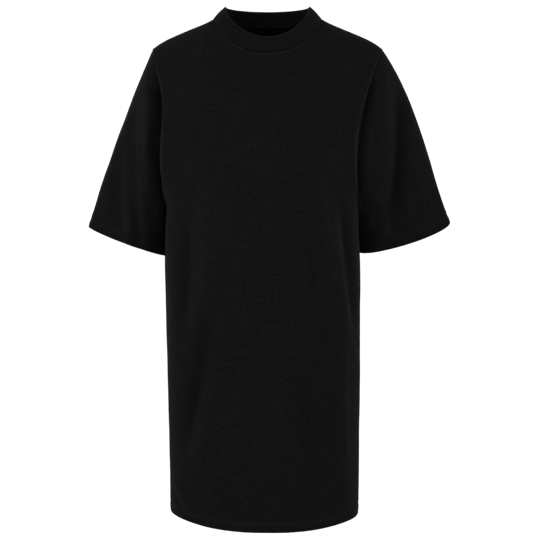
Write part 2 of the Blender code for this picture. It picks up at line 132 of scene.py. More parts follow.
# The body from the side: its side seam and the middles of its front and its back
Depth = namedtuple("Depth", "z seam_y front_y back_y")
DEPTHS = [
    Depth(-0.8785, 0.000, -0.122, 0.116),
    Depth(-0.640, 0.000, -0.123, 0.113),
    Depth(-0.530, 0.004, -0.125, 0.112),
    Depth(-0.430, 0.015, -0.126, 0.113),
    Depth(-0.337, 0.029, -0.127, 0.115),
    Depth(-0.270, 0.030, -0.128, 0.118),
    Depth(-0.210, 0.030, -0.127, 0.119),
]

# Cuffs: the ends of each opening, its half depth, and how far its front edge hangs and lies back
Cuff = namedtuple("Cuff", "outer inner half_depth front_drop set_back")
CUFFS = {
    "right": Cuff((-0.3225, 0.008, -0.368), (-0.1842, 0.058, -0.4225), 0.046, 0.004, 0.000),
    "left": Cuff((0.3300, 0.008, -0.361), (0.1655, 0.058, -0.4145), 0.037, 0.014, 0.004),
}

# How the cloth of a sleeve runs at its two ends, over and under the arm
Way = namedtuple("Way", "outward back down")
ARMHOLE_OVER = {"right": Way(0.42, 0.00, 0.91), "left": Way(0.58, 0.00, 0.81)}
ARMHOLE_UNDER = {"right": Way(0.14, 0.30, 0.94), "left": Way(0.10, 0.42, 0.90)}
ARMHOLE_SIDEWAYS = 0.12
CUFF_OVER = {"right": Way(0.30, 0.02, 0.95), "left": Way(0.37, 0.02, 0.93)}
CUFF_UNDER = Way(0.02, 0.10, 0.99)
SLEEVE_REACH = 0.33
MITRE_FROM = 0.06

# Beside an armhole, the sleeve drops into a valley at the seam and climbs out of it to a ridge; darker is the
# painted shade laid into the cloth's colour in the valley, beside the seam
Valley = namedtuple("Valley", "front back at reach darker")
VALLEYS = {
    "right": Valley(0.034, 0.020, 0.0030, 0.025, 0.50),
    "left": Valley(0.019, 0.018, 0.0030, 0.021, 0.28),
}
VALLEY_TOP_Z = (-0.085, -0.145)  # where it starts, and where it is whole
VALLEY_LOW_Z = (-0.365, -0.280)  # where it ends, and where it is still whole
VALLEY_ROUND = 0.6
VALLEY_BEND = 1.3

# The largest folds of each face, as upright soft ridges (height above 0) and troughs
Fold = namedtuple("Fold", "top_x top_z low_x low_z bow width height")
FOLDS = {
    "front": [
        Fold(-0.1090, -0.250, -0.1330, -0.620, 0.008, 0.014, 0.0065),
        Fold(-0.1400, -0.330, -0.1480, -0.560, 0.000, 0.012, -0.0075),
        Fold(-0.1060, -0.480, -0.1550, -0.780, 0.010, 0.013, -0.0080),
        Fold(-0.0860, -0.580, -0.1380, -0.820, 0.004, 0.014, 0.0060),
        Fold(0.0930, -0.250, 0.1510, -0.590, -0.004, 0.013, 0.0070),
        Fold(0.1260, -0.300, 0.1560, -0.600, 0.003, 0.010, -0.0065),
        Fold(0.1280, -0.520, 0.1370, -0.850, 0.000, 0.010, 0.0050),
    ],
    "back": [
        Fold(-0.1080, -0.300, -0.1360, -0.700, 0.006, 0.018, 0.0055),
        Fold(-0.1360, -0.380, -0.1450, -0.640, 0.000, 0.014, -0.0050),
        Fold(0.0960, -0.260, 0.1240, -0.620, 0.006, 0.018, 0.0055),
        Fold(0.0700, -0.480, 0.1060, -0.820, 0.004, 0.018, -0.0050),
    ],
    "right_front": [
        Fold(-0.2180, -0.075, -0.2210, -0.460, 0.000, 0.010, 0.0085),
        Fold(-0.2350, -0.210, -0.2370, -0.400, 0.000, 0.010, 0.0012),
        Fold(-0.2470, -0.200, -0.2500, -0.440, 0.000, 0.010, 0.0065),
    ],
    "right_back": [Fold(-0.2080, -0.100, -0.2220, -0.380, 0.004, 0.016, 0.0065)],
    "left_front": [
        Fold(0.2180, -0.070, 0.1990, -0.460, 0.000, 0.014, 0.0080),
        Fold(0.2330, -0.080, 0.2210, -0.385, 0.008, 0.013, -0.0115),
    ],
    "left_back": [Fold(0.2060, -0.100, 0.2180, -0.380, 0.004, 0.016, 0.0065)],
}
FOLD_FADE = 0.3  # the share of a fold's length over which each of its ends fades
SIDE_FADE_POWER = 6  # how late a panel's folds die out towards its edges
SLEEVE_FOLD_START = 0.17  # the share of a sleeve's length over which its folds come in
SLEEVE_FOLD_POWER = 0.7  # how broadly they run before they die out over and under the arm

# Finer creases, laid along a line from one point to another and bowed to its side
Crease = namedtuple("Crease", "from_x from_z to_x to_z bow width height")
CREASES = {
    "front": [
        Crease(-0.1700, -0.808, -0.1330, -0.878, 0.001, 0.0050, 0.0034),
        Crease(-0.1690, -0.826, -0.1440, -0.880, 0.001, 0.0035, -0.0016),
        Crease(-0.1780, -0.335, -0.1760, -0.425, 0.000, 0.0050, 0.0034),
        Crease(0.1540, -0.170, 0.1575, -0.340, 0.000, 0.0050, 0.0036),
        Crease(0.0740, -0.330, 0.0760, -0.530, -0.003, 0.0060, -0.0009),
        Crease(-0.1560, -0.300, -0.1180, -0.235, 0.004, 0.0090, 0.0014),
        Crease(0.1340, -0.290, 0.1040, -0.225, -0.004, 0.0090, 0.0013),
        Crease(-0.1100, -0.045, -0.1500, -0.105, 0.004, 0.0100, 0.0010),
        Crease(0.1120, -0.046, 0.1480, -0.110, -0.004, 0.0100, 0.0011),
        Crease(-0.0540, -0.640, -0.0700, -0.790, 0.004, 0.0130, 0.0010),
        Crease(0.0560, -0.600, 0.0690, -0.800, -0.004, 0.0140, -0.0010),
        Crease(0.0150, -0.560, 0.0110, -0.840, 0.004, 0.0160, 0.0008),
    ],
    "back": [
        Crease(-0.1620, -0.300, -0.1200, -0.230, 0.004, 0.0090, 0.0016),
        Crease(0.1360, -0.300, 0.1000, -0.220, -0.004, 0.0100, 0.0016),
        Crease(-0.0500, -0.090, -0.0660, -0.260, 0.006, 0.0130, 0.0016),
        Crease(0.0480, -0.095, 0.0580, -0.240, -0.005, 0.0130, 0.0014),
        Crease(-0.0560, -0.560, -0.0780, -0.830, 0.005, 0.0150, 0.0016),
        Crease(-0.0200, -0.500, -0.0100, -0.820, 0.004, 0.0150, -0.0013),
        Crease(0.0340, -0.600, 0.0300, -0.840, 0.003, 0.0140, 0.0012),
        Crease(0.1450, -0.700, 0.1260, -0.765, 0.003, 0.0060, -0.0014),
        Crease(-0.1180, -0.046, -0.1560, -0.110, 0.004, 0.0100, 0.0012),
        Crease(0.1150, -0.047, 0.1540, -0.112, -0.004, 0.0100, 0.0012),
    ],
    "right_front": [
        Crease(-0.2420, -0.128, -0.2190, -0.145, 0.002, 0.0040, -0.0010),
        Crease(-0.2120, -0.090, -0.2170, -0.275, 0.000, 0.0045, 0.0054),
        Crease(-0.2500, -0.250, -0.2520, -0.400, 0.001, 0.0050, 0.0022),
        Crease(-0.2600, -0.340, -0.2310, -0.385, 0.002, 0.0070, 0.0026),
        Crease(-0.2650, -0.250, -0.2780, -0.370, 0.002, 0.0100, -0.0018),
        Crease(-0.2360, -0.270, -0.2340, -0.380, 0.001, 0.0070, -0.0006),
        Crease(-0.2780, -0.250, -0.2960, -0.360, 0.001, 0.0100, 0.0014),
    ],
    "right_back": [
        Crease(-0.2380, -0.160, -0.2540, -0.340, 0.003, 0.0130, -0.0030),
        Crease(-0.2640, -0.220, -0.2860, -0.370, 0.002, 0.0130, 0.0026),
        Crease(-0.1960, -0.130, -0.2060, -0.330, 0.002, 0.0120, -0.0040),
    ],
    "left_front": [
        Crease(0.2120, -0.134, 0.2320, -0.118, 0.002, 0.0040, -0.0010),
        Crease(0.2080, -0.055, 0.2110, -0.220, 0.000, 0.0045, 0.0034),
        Crease(0.2400, -0.150, 0.2300, -0.230, -0.003, 0.0040, -0.0013),
        Crease(0.2260, -0.160, 0.2200, -0.240, 0.002, 0.0050, -0.0011),
        Crease(0.2150, -0.345, 0.2210, -0.400, 0.001, 0.0070, 0.0034),
        Crease(0.1830, -0.335, 0.1890, -0.385, 0.001, 0.0060, 0.0030),
        Crease(0.1960, -0.285, 0.2030, -0.350, 0.002, 0.0080, 0.0040),
        Crease(0.2540, -0.300, 0.2650, -0.372, 0.001, 0.0080, 0.0024),
        Crease(0.2700, -0.210, 0.2950, -0.350, 0.002, 0.0130, 0.0018),
        Crease(0.1980, -0.280, 0.2020, -0.380, 0.001, 0.0070, -0.0018),
    ],
    "left_back": [
        Crease(0.2360, -0.170, 0.2540, -0.340, 0.003, 0.0130, -0.0030),
        Crease(0.2620, -0.220, 0.2860, -0.370, 0.002, 0.0130, 0.0026),
        Crease(0.1900, -0.130, 0.2000, -0.330, 0.002, 0.0120, -0.0036),
    ],
}
CREASE_FADE = 0.4  # the share of a crease's length over which each of its ends fades

# Each piece's seeds, to which a seam adds its own number and a panel's left edge adds one
Seeds = namedtuple("Seeds", "seams hem cloth")
SEEDS = {
    "front": Seeds(100, 140, 150),
    "back": Seeds(200, 240, 250),
    "right": Seeds(300, 302, 303),
    "left": Seeds(400, 402, 403),
    "collar": Seeds(500, None, 501),
}

# Seams: a groove along each seam line, with a soft roll beside it where its allowance lies
Seam = namedtuple("Seam", "number groove groove_width roll roll_at roll_width pucker wavelength reach")
SIDE_SEAM = Seam(0, 0.0007, 0.0014, 0.0003, 0.0045, 0.0025, 0.00022, 0.013, 0.012)
SHOULDER_SEAM = Seam(30, 0.0007, 0.0014, 0.0004, 0.0045, 0.0028, 0.00020, 0.012, 0.012)
ARMHOLE_BODY = Seam(10, 0.0002, 0.0008, 0.0008, 0.0014, 0.0013, 0.00025, 0.014, 0.014)
ARMHOLE_SLEEVE = Seam(0, 0.0006, 0.0012, 0.0000, 0.0060, 0.0040, 0.00035, 0.012, 0.018)
SLEEVE_SEAM = Seam(1, 0.0006, 0.0030, 0.0003, 0.0090, 0.0040, 0.00020, 0.013, 0.012)
NECK_SEAM = Seam(20, 0.0008, 0.0014, 0.0014, 0.0042, 0.0016, 0.00018, 0.010, 0.014)
COLLAR_SEAM = Seam(0, 0.0010, 0.0016, 0.0002, 0.0055, 0.0025, 0.00015, 0.011, 0.012)
PUCKER_STEADY = (0.55, 0.45)  # the shares of the puckers that stay, and that come and go
PUCKER_SPELL = 0.09  # how far along a seam they come and go
PUCKER_START = 0.004  # how far from the seam they are whole

# Turned hems: twin rows of stitches pull a shallow channel between two soft puffs
STITCH_ROWS = (0.0136, 0.0164)
HEM_CHANNEL = 0.0004
HEM_CHANNEL_WIDTH = 0.0011
HEM_PUFF = 0.0005
HEM_PUFFS = ((1.0, 0.0072, 0.0040), (0.5, 0.0215, 0.0025))  # share of the height, place, width
HEM_PUCKER = 0.00030
HEM_PUCKER_PLACE = (0.012, 0.011)
HEM_PUCKER_START = 0.003
HEM_WAVELENGTH = 0.017
HEM_SLANT = 0.5
HEM_STEADY = (0.6, 0.4)
HEM_SPELL = 0.12
STITCH_LENGTH = 0.0025
STITCH_PITCH = 0.0033
STITCH_RADIUS = 0.00030
STITCH_RAISED = 0.45
STITCH_SIDES = 5
STITCH_SECTIONS = ((0.0, 0.25), (0.2, 0.85), (0.5, 1.0), (0.8, 0.85), (1.0, 0.25))  # share, thickness
STITCH_AHEAD = 0.0001  # how far on a stitch looks for its way along the line

# Unevenness of the hand of the cloth
UNEVEN = 0.00045
UNEVEN_WAVES = 14
UNEVEN_LENGTHS = (0.028, 0.110)
UNEVEN_USUAL_LENGTH = 0.07
UNEVEN_TILT = 0.45
UNEVEN_DEPTHWISE = 0.35
COLLAR_UNEVEN = 0.7  # as a share of the other cloth's
WANDER_RATES = (0.61, 1.0, 1.57, 2.3)
WANDER_RANGE = 2.6
PANEL_CLEAR = 0.012  # how far from their seams the pieces become uneven
SLEEVE_CLEAR = 0.014
COLLAR_CLEAR = 0.010

# Painted light in the cloth's colour: painted highlights beside a seam or along an edge, and painted shade in
# a seam's groove
PaintedLight = namedtuple("PaintedLight", "light light_at light_width dark dark_width")
# painted highlight on the seams' rolls and painted shade in their grooves
SEAM_PAINTED_LIGHT = PaintedLight(0.15, 0.0035, 0.0025, 0.25, 0.0014)
# painted highlight along the front's and the back's edge at the armholes, and lower down where the sleeves'
# shadow falls
ARMHOLE_BODY_PAINTED_HIGHLIGHT = PaintedLight(1.00, 0.0010, 0.0016, 0.00, 0.0010)
LOW_ARMHOLE_PAINTED_HIGHLIGHT = PaintedLight(0.90, 0.0020, 0.0036, 0.00, 0.0010)
LOW_ARMHOLE_Z = (-0.170, -0.240)
# painted shade in the neck seam's groove at the middle, and painted highlight lines below it and towards the
# sides
NECK_PAINTED_LIGHT = PaintedLight(0.85, 0.0040, 0.0018, 0.45, 0.0014)
NECK_LIGHTER = 1.8  # how soon the neck's groove gives way to a painted highlight line towards its sides
# painted shade in the collar seam's groove, and a painted highlight along the collar's folded edge
COLLAR_SEAM_PAINTED_SHADE = PaintedLight(0.00, 0.0010, 0.0010, 0.35, 0.0014)
COLLAR_FOLD_PAINTED_HIGHLIGHT = PaintedLight(0.35, 0.0005, 0.0022, 0.00, 0.0010)
# painted shade: the whole collar's colour is a little darker
COLLAR_PAINTED_SHADE = -0.06
# painted highlight lines along the hems' and the cuffs' rows of stitches
HEM_PAINTED_HIGHLIGHT = PaintedLight(0.38, 0.0148, 0.0036, 0.00, 0.0010)
CUFF_PAINTED_HIGHLIGHT = PaintedLight(0.20, 0.0148, 0.0038, 0.00, 0.0010)
# the width of the painted shade beside each sleeve's armhole seam
VALLEY_SHADE_WIDTH = 0.0100
FOLD_PAINTED_LIGHT = 30.0  # a metre: how much lighter the folds' ridges and darker their troughs are painted, by their height: painted highlight and painted shade
# painted highlight on the creases' ridges and painted shade in their troughs, by their height
CREASE_PAINTED_LIGHT = 110.0
INSIDE_PAINTED_SHADE = -0.65  # painted shade: the inside of the cloth is painted a deeper black
# A painted highlight where the front and the back round to the sides, behind the sleeves' inner edges, where
# the sleeves' shadow falls
ROUND_PAINTED_HIGHLIGHT = 0.80
ROUND_TURN = (0.22, 0.22)  # how far the cloth still faces forward or back there, and the band's width
ROUND_TOP_Z = (-0.215, -0.255)
ROUND_LOW_Z = (-0.450, -0.400)

# Fine grid
EDGE_STEPS = (0.0, 0.0028, 0.0056, 0.0086, 0.0120, 0.0165, 0.0225, 0.0310)
TOP_STEPS = (0.0, 0.0055, 0.0110, 0.0170, 0.0240, 0.0330, 0.0450, 0.0620)
SEAM_STEPS = (0.0, 0.0011, 0.0022, 0.0035, 0.0050, 0.0070, 0.0095, 0.0130)
HEM_STEPS = (0.0, 0.0008, 0.0022, 0.0050, 0.0085, 0.0108, 0.0124, STITCH_ROWS[0], 0.0150,
             STITCH_ROWS[1], 0.0185, 0.0205, 0.0230, 0.0265)
SHOULDER_COLUMNS = 18
NECK_COLUMNS = 84
NECK_SHARE = 0.66  # how much of a panel, across it, ends at the neckline
NECK_END = 0.016  # the share over which the neck seam gives way to the shoulder seams
UNDERARM_TURN = 0.03  # the height over which a side seam gives way to the armhole seam
SKIRT_ROWS = 104
UNDERARM_ROWS = 28
UNDERARM_ROW = len(HEM_STEPS) + SKIRT_ROWS - 1
YOKE_ROWS = 40
SLEEVE_ROWS = 62
COLLAR_ROWS = 14
ROUND_STEPS = 4
SHARP_DEGREES = 60
UV_NAME = "cloth"
# the mesh attribute that carries the painted highlights and painted shade
PAINTED_LIGHT_NAME = "painted_light"

# What shows of each piece's cut, laid flat: without its turned hem and its seam allowances
Cut = namedtuple("Cut", "width length area")

# Cloth and thread
JERSEY_BLACK = (0.0155, 0.0156, 0.0155)
JERSEY_ROUGHNESS = 0.90
WALE = 0.00090
COURSE = 0.00070
KNIT_DEPTH = 0.00018
KNIT_LOW = 0.55  # how high a stitch of the knit still is between its loops
SLUB_SIZE = (0.030, 0.0034)  # across and along the cloth
SLUB_DEPTH = 0.00022
SLUB_TONE = 0.11
MOTTLE_SIZE = (0.0068, 0.0064)
MOTTLE_TONE = 0.18
FUZZ_DEPTH = 0.00035
PATCH_SIZE = 0.030
PATCH_TONE = 0.05
THREAD_BLACK = (0.0210, 0.0211, 0.0210)
THREAD_ROUGHNESS = 0.70
THREAD_TONE = 0.15
TWIST_SIZE = 0.0006
TWIST_DEPTH = 0.00015
NOISE_RANGE = (0.3, 0.7)
FINISH = {
    "Metallic": 0.0,
    "Specular IOR Level": 0.08,
    "Sheen Weight": 0.05,
    "Sheen Roughness": 0.45,
    "Sheen Tint": (1.0, 1.0, 1.0, 1.0),
}

# Studio
FLOOR_Z = -1.42  # the dress hangs at the height that it is worn
STUDIO_RADIUS = 6.0
STUDIO_CURVE = 1.5
STUDIO_HEIGHT = 5.5
STUDIO_SIDES = 64
STUDIO_CURVE_STEPS = 12
STUDIO_ROOF_STEPS = 16
STUDIO_FINISH = {
    "Base Color": (0.8, 0.8, 0.8, 1.0),
    "Roughness": 0.9,
    "Emission Color": (1.0, 1.0, 1.0, 1.0),
    "Emission Strength": 1.0,
}
FILL = 0.139
LAMPS_AIM = (0.0, 0.0, -0.36)
Lamp = namedtuple("Lamp", "name at width height watts")
LAMPS = [
    Lamp("front", (0.10, -1.90, -0.16), 1.0, 1.2, 1.1),
    Lamp("front_left", (-1.08, -1.55, -0.09), 1.0, 1.2, 5.2),
    Lamp("front_right", (1.08, -1.55, -0.09), 1.0, 1.2, 3.6),
    Lamp("left", (-1.71, -0.80, -0.16), 1.0, 1.2, 2.4),
    Lamp("right", (1.89, 0.00, -0.16), 1.0, 1.2, 2.2),
    Lamp("front_low", (0.00, -1.71, -1.19), 1.4, 0.7, 0.5),
    Lamp("back_left", (-1.19, 1.42, 0.04), 1.0, 1.2, 4.5),
    Lamp("back_right", (1.19, 1.42, 0.04), 1.0, 1.2, 4.0),
]

# Camera, as the photograph was taken
SENSOR_WIDTH = 36.0
FOCAL_PIXELS = 1388.9
IMAGE_PIXELS = 540
CAMERA_LENS = FOCAL_PIXELS * SENSOR_WIDTH / IMAGE_PIXELS
CAMERA_AT = (0.0045, -2.5, -0.312)
CAMERA_TILT = 3.098  # degrees down


def smooth_curve(knots, values, at):
    """Reads a smooth curve through a table's values at its knots."""
    knots, values = np.array(knots, float), np.array(values, float)
    slopes = np.gradient(values, knots)
    low = np.clip(np.searchsorted(knots, at) - 1, 0, len(knots) - 2)
    span = knots[low + 1] - knots[low]
    t = np.clip((at - knots[low]) / span, 0.0, 1.0)
    start = values[low] * (1 + 2 * t) * (1 - t) ** 2 + slopes[low] * span * t * (1 - t) ** 2
    end = values[low + 1] * (3 - 2 * t) * t**2 - slopes[low + 1] * span * t**2 * (1 - t)
    return start + end


def read(table, column, z):
    """A column of a table of levels, read at height z."""
    return smooth_curve([row.z for row in table], [getattr(row, column) for row in table], z)


def ramp(x):
    """Rises smoothly from 0 at 0 to 1 at 1."""
    x = np.clip(x, 0.0, 1.0)
    return x * x * (3 - 2 * x)


def bump(x, middle, width):
    """A smooth hump of height 1."""
    return np.exp(-(((x - middle) / width) ** 2))


def faded_ends(along, share):
    """1 along a line, and smoothly down to 0 over a share of it at each end."""
    return ramp(along / share) * ramp((1 - along) / share)


def between_heights(z, top, low):
    """1 between two heights: each says where it starts or ends, and where it is whole."""
    start, whole = top
    end, still_whole = low
    return ramp((start - z) / (start - whole)) * ramp((z - end) / (still_whole - end))


def unit(vectors):
    """Vectors at length 1."""
    return vectors / np.maximum(np.linalg.norm(vectors, axis=-1, keepdims=True), 1e-12)


def square_to(vectors, way):
    """Vectors without their part along another one."""
    return vectors - way * (vectors * way).sum(-1, keepdims=True)


def columns():
    """Places of the columns across a panel, closer together beside its side seams."""
    edge = 1 - np.array(EDGE_STEPS)
    shoulder = np.linspace(edge[-1], NECK_SHARE, SHOULDER_COLUMNS + 1)[1:]
    left = np.concatenate([edge, shoulder])
    neck = np.linspace(-NECK_SHARE, NECK_SHARE, NECK_COLUMNS + 1)
    return np.concatenate([-left, neck[1:-1], left[::-1]])


def edge_y(z, face):
    """How far forward or back the side seam or the armhole seam lies at height z."""
    seam = read(DEPTHS, "seam_y", z)
    below = np.clip((CHEST_Z - z) / (CHEST_Z - UNDERARM_Z), 0.0, 1.0)
    return seam + (ARMHOLE_Y[face] - seam) * (1 - below**2) ** ARMHOLE_POWER


def section_shape(z, face):
    """The middle, half width, seam line, depth and first angle of a level superellipse section."""
    right, left = read(EDGES, "right_x", z), read(EDGES, "left_x", z)
    seam = read(DEPTHS, "seam_y", z)
    depth = read(DEPTHS, face + "_y", z) - seam
    power = SECTION_POWERS[face]
    first = math.asin(min(1.0, ((edge_y(z, face) - seam) / depth) ** (power / 2)))
    half_width = (left - right) / 2 / math.cos(first) ** (2 / power)
    return (right + left) / 2, half_width, seam, depth, first


def level_section(z, u, face):
    """Points across the front or the back at a level height, each half a superellipse arc."""
    middle, half_width, seam, depth, first = section_shape(z, face)
    power = 2 / SECTION_POWERS[face]
    angle = math.pi / 2 - np.abs(u) * (math.pi / 2 - first)
    x = middle + np.sign(u) * half_width * np.cos(angle) ** power
    y = seam + depth * np.sin(angle) ** power
    return np.stack([x, y, np.full_like(u, z)], axis=-1)


def chest_y(x, face):
    """How far forward or back the cloth lies at chest height, at x."""
    middle, half_width, seam, depth, _ = section_shape(CHEST_Z, face)
    power = SECTION_POWERS[face]
    return seam + depth * (1 - np.clip(np.abs(x - middle) / half_width, 0, 1) ** power) ** (1 / power)


def neck_turn(u):
    """The angle round the neck of each column, from the wearer's right to the left."""
    return np.clip(u / NECK_SHARE, -1, 1) * math.pi / 2


def shoulder_share(u):
    """How far along a shoulder seam each column is, from 0 at the neck to 1 at the tip."""
    return np.clip((np.abs(u) - NECK_SHARE) / (1 - NECK_SHARE), 0, 1)


def shoulder_ridge(u):
    """The shoulder seams, and the line that carries them on across the neck."""
    angle = neck_turn(u)
    ahead = np.clip(np.cos(angle), 0, 1)
    level = np.full_like(u, NECK_SIDE_Y)
    neck = np.stack([NECK_HALF_WIDTH * np.sin(angle), level, NECK_RIDGE_Z * ahead**2], axis=-1)
    t = shoulder_share(u)
    start, near, far, end = (1 - t) ** 3, 3 * t * (1 - t) ** 2, 3 * t**2 * (1 - t), t**3
    tip = np.where(u < 0, -EDGES[-1].right_x, EDGES[-1].left_x)
    x = start * NECK_HALF_WIDTH + near * SHOULDER_NECK_PULL[0] + far * SHOULDER_TIP_PULL[0] + end * tip
    y = (start + near) * NECK_SIDE_Y + (far + end) * SHOULDER_TIP_Y
    z = near * SHOULDER_NECK_PULL[1] + far * SHOULDER_TIP_PULL[1] + end * SHOULDER_TIP_Z
    shoulder = np.stack([np.sign(u) * x, y, z], axis=-1)
    return np.where(t[:, None] > 0, shoulder, neck)


def yoke_section(rise, u, face):
    """Points across a panel above the chest: rise is 0 at the chest and 1 at the top edge."""
    low, ridge = level_section(CHEST_Z, u, face), shoulder_ridge(u)
    power = 2 / YOKE_POWERS[face]
    ahead = np.clip(np.cos(neck_turn(u)), 0, 1)
    top_z = np.where(np.abs(u) < NECK_SHARE, NECK_MIDDLE_Z[face] * ahead**NECK_DIP_POWER, ridge[:, 2])
    top_climb = (top_z - CHEST_Z) / (ridge[:, 2] - CHEST_Z)
    turn = rise * np.arcsin(np.clip(top_climb, 0, 1) ** (1 / power))
    climb = np.sin(turn) ** power
    lean = 1 - np.clip(np.cos(turn), 0, 1) ** power
    z = CHEST_Z + (ridge[:, 2] - CHEST_Z) * climb

    straight_x = low[:, 0] + (ridge[:, 0] - low[:, 0]) * climb / top_climb
    right, left = read(EDGES, "right_x", z[0]), read(EDGES, "left_x", z[-1])
    armhole_shift = np.where(u < 0, right - straight_x[0], left - straight_x[-1])
    beside_armhole = ramp(shoulder_share(u))
    x = straight_x + armhole_shift * beside_armhole
    low_y = chest_y(x + (low[:, 0] - x) * beside_armhole, face)
    y = low_y + (ridge[:, 1] - low_y) * lean
    return np.stack([x, y, z], axis=-1)


def drop_hem(points, u, face):
    """Lets the skirt hang lower in its middle and on the wearer's left."""
    drop = HEM_DROPS[face] * np.cos(u * math.pi / 2) ** HEM_DROP_POWER + LEFT_HEM_DROP * ramp((1 + u) / 2)
    below = np.clip((UNDERARM_Z - points[..., 2]) / (UNDERARM_Z - HEM_Z), 0, 1)
    points[..., 2] -= drop * below**2
    return points


def panel(face):
    """The front's or the back's plain outer face: rows of points from the hem to the top edge."""
    u = columns()
    hem = [HEM_Z + step for step in HEM_STEPS]
    skirt = np.linspace(hem[-1], UNDERARM_Z, SKIRT_ROWS + 1)[1:]
    around_armhole = np.sin(np.linspace(math.pi / 2, 0, UNDERARM_ROWS + 1))[1:]
    heights = [*hem, *skirt, *(CHEST_Z - (CHEST_Z - UNDERARM_Z) * around_armhole)]
    rises = [*np.linspace(0, 1 - TOP_STEPS[-1], YOKE_ROWS + 1)[1:-1], *(1 - np.array(TOP_STEPS[::-1]))]
    rows = [level_section(z, u, face) for z in heights]
    rows += [yoke_section(rise, u, face) for rise in rises]
    return drop_hem(np.array(rows), u, face)


def armhole(front, back, side):
    """What the panels have round an armhole: from the shoulder tip down the front, and up the back."""
    down = front[UNDERARM_ROW:, EDGE_COLUMNS[side]][::-1]
    up = back[UNDERARM_ROW:, EDGE_COLUMNS[side]]
    return np.concatenate([down, up[1:-1]])


def split_loop(loop):
    """Parts what runs round an armhole into the front's and the back's share, each from below up."""
    rows = len(loop) // 2 + 1
    return loop[:rows][::-1], np.concatenate([loop[rows - 1:], loop[:1]])


def loop_shares(loop):
    """How far round a closed loop each of its points is, from 0 to 1."""
    steps = np.linalg.norm(np.roll(loop, -1, axis=0) - loop, axis=1)
    return np.concatenate([[0], np.cumsum(steps)[:-1]]) / steps.sum()


def forward_turn(rings):
    """Where each column of a sleeve lies: 1 at the front, 0 over and under the arm, -1 at the back."""
    return np.sin(loop_shares(rings[0]) * 2 * math.pi)


def cuff_loop(shares, side):
    """The cuff's edge, from its outer end round the front to its inner end, and back."""
    cuff = CUFFS[side]
    outer, inner = np.array(cuff.outer), np.array(cuff.inner)
    angle = shares * 2 * math.pi
    forward = np.sin(angle)[:, None]
    middle, half = (outer + inner) / 2, (outer - inner) / 2
    across = middle + half * np.cos(angle)[:, None]
    depth = np.array([0.0, -cuff.half_depth, -cuff.front_drop])
    shift = np.array([0.0, cuff.set_back, 0.0])
    return across + depth * forward + shift * np.abs(forward)


def sleeve_ways(over, under, sideways, shares, side):
    """How the cloth runs round one end of a sleeve, turning from over the arm to under it."""
    over, under = (np.array([OUTWARD[side] * way.outward, way.back, -way.down]) for way in (over, under))
    angle = (shares * 2 * math.pi)[:, None]
    ways = (over + under) / 2 + (over - under) / 2 * np.cos(angle)
    return unit(ways + np.array([0.0, sideways, 0.0]) * np.sin(angle))


def sleeve(loop, side):
    """A sleeve's plain outer face, and each ring's place on it, from 0 at the armhole to 1 at the cuff."""
    shares = loop_shares(loop)
    cuff = cuff_loop(shares, side)
    length = np.linalg.norm(cuff - loop, axis=1)
    reach = (SLEEVE_REACH * length)[:, None]
    over, under = ARMHOLE_OVER[side], ARMHOLE_UNDER[side]
    first = loop + sleeve_ways(over, under, ARMHOLE_SIDEWAYS, shares, side) * reach
    last = cuff - sleeve_ways(CUFF_OVER[side], CUFF_UNDER, 0.0, shares, side) * reach
    near_seam = [step / length for step in SEAM_STEPS]
    near_cuff = [1 - step / length for step in HEM_STEPS[::-1]]
    between = [near_seam[-1] + (near_cuff[0] - near_seam[-1]) * share
               for share in np.linspace(0, 1, SLEEVE_ROWS + 1)[1:-1]]
    places = np.array([*near_seam, *between, *near_cuff])
    t = places[..., None]
    ends = loop * (1 - t) ** 3 + cuff * t**3
    return ends + first * 3 * t * (1 - t) ** 2 + last * 3 * t**2 * (1 - t), places


def sink_valleys(rings, side):
    """Sinks a valley into a sleeve beside the front and the back of its armhole."""
    x, z = rings[..., 0], rings[..., 2]
    beyond = OUTWARD[side] * (x - read(EDGES, side + "_x", z))
    valley = VALLEYS[side]
    drop = np.sin(np.clip(beyond / valley.at, 0, 1) * math.pi / 2)
    climb = np.clip((beyond - valley.at) / (valley.reach - valley.at), 0, 1)
    profile = drop * (1 - climb) ** VALLEY_BEND
    turn = forward_turn(rings)
    depth = np.where(turn > 0, valley.front, -valley.back) * ramp(np.abs(turn) / VALLEY_ROUND)
    sunk = rings.copy()
    sunk[..., 1] += profile * between_heights(z, VALLEY_TOP_Z, VALLEY_LOW_Z) * depth
    return sunk


def closed(rings):
    """Rings of points with their first column repeated at their end."""
    return np.concatenate([rings, rings[:, :1]], axis=1)


def distance_along(points, axis):
    """How far each point of a grid is from its first row or column, along the cloth."""
    steps = np.linalg.norm(np.diff(points, axis=axis), axis=-1)
    start = np.zeros_like(np.take(steps, [0], axis=axis))
    return np.concatenate([start, np.cumsum(steps, axis=axis)], axis=axis)


def distance_around(rings):
    """How far round its ring each point is."""
    return distance_along(closed(rings), 1)[:, :-1]


def from_sides(points):
    """How far each point of a panel is from its right and from its left edge."""
    across = distance_along(points, 1)
    return {"right": across, "left": across[:, -1:] - across}


def grid_normals(points, ring):
    """Normals of a grid, outward where its columns run to the right of its rows, seen from outside."""
    if ring:
        across = np.roll(points, -1, 1) - np.roll(points, 1, 1)
    else:
        across = np.gradient(points, axis=1)
    return unit(np.cross(across, np.gradient(points, axis=0)))


def panel_normals(points, face):
    """Outward normals of the front or the back."""
    return grid_normals(points, False) * FACING[face]


def sleeve_normals(rings, side):
    """Outward normals of a sleeve."""
    return grid_normals(rings, True) * OUTWARD[side]


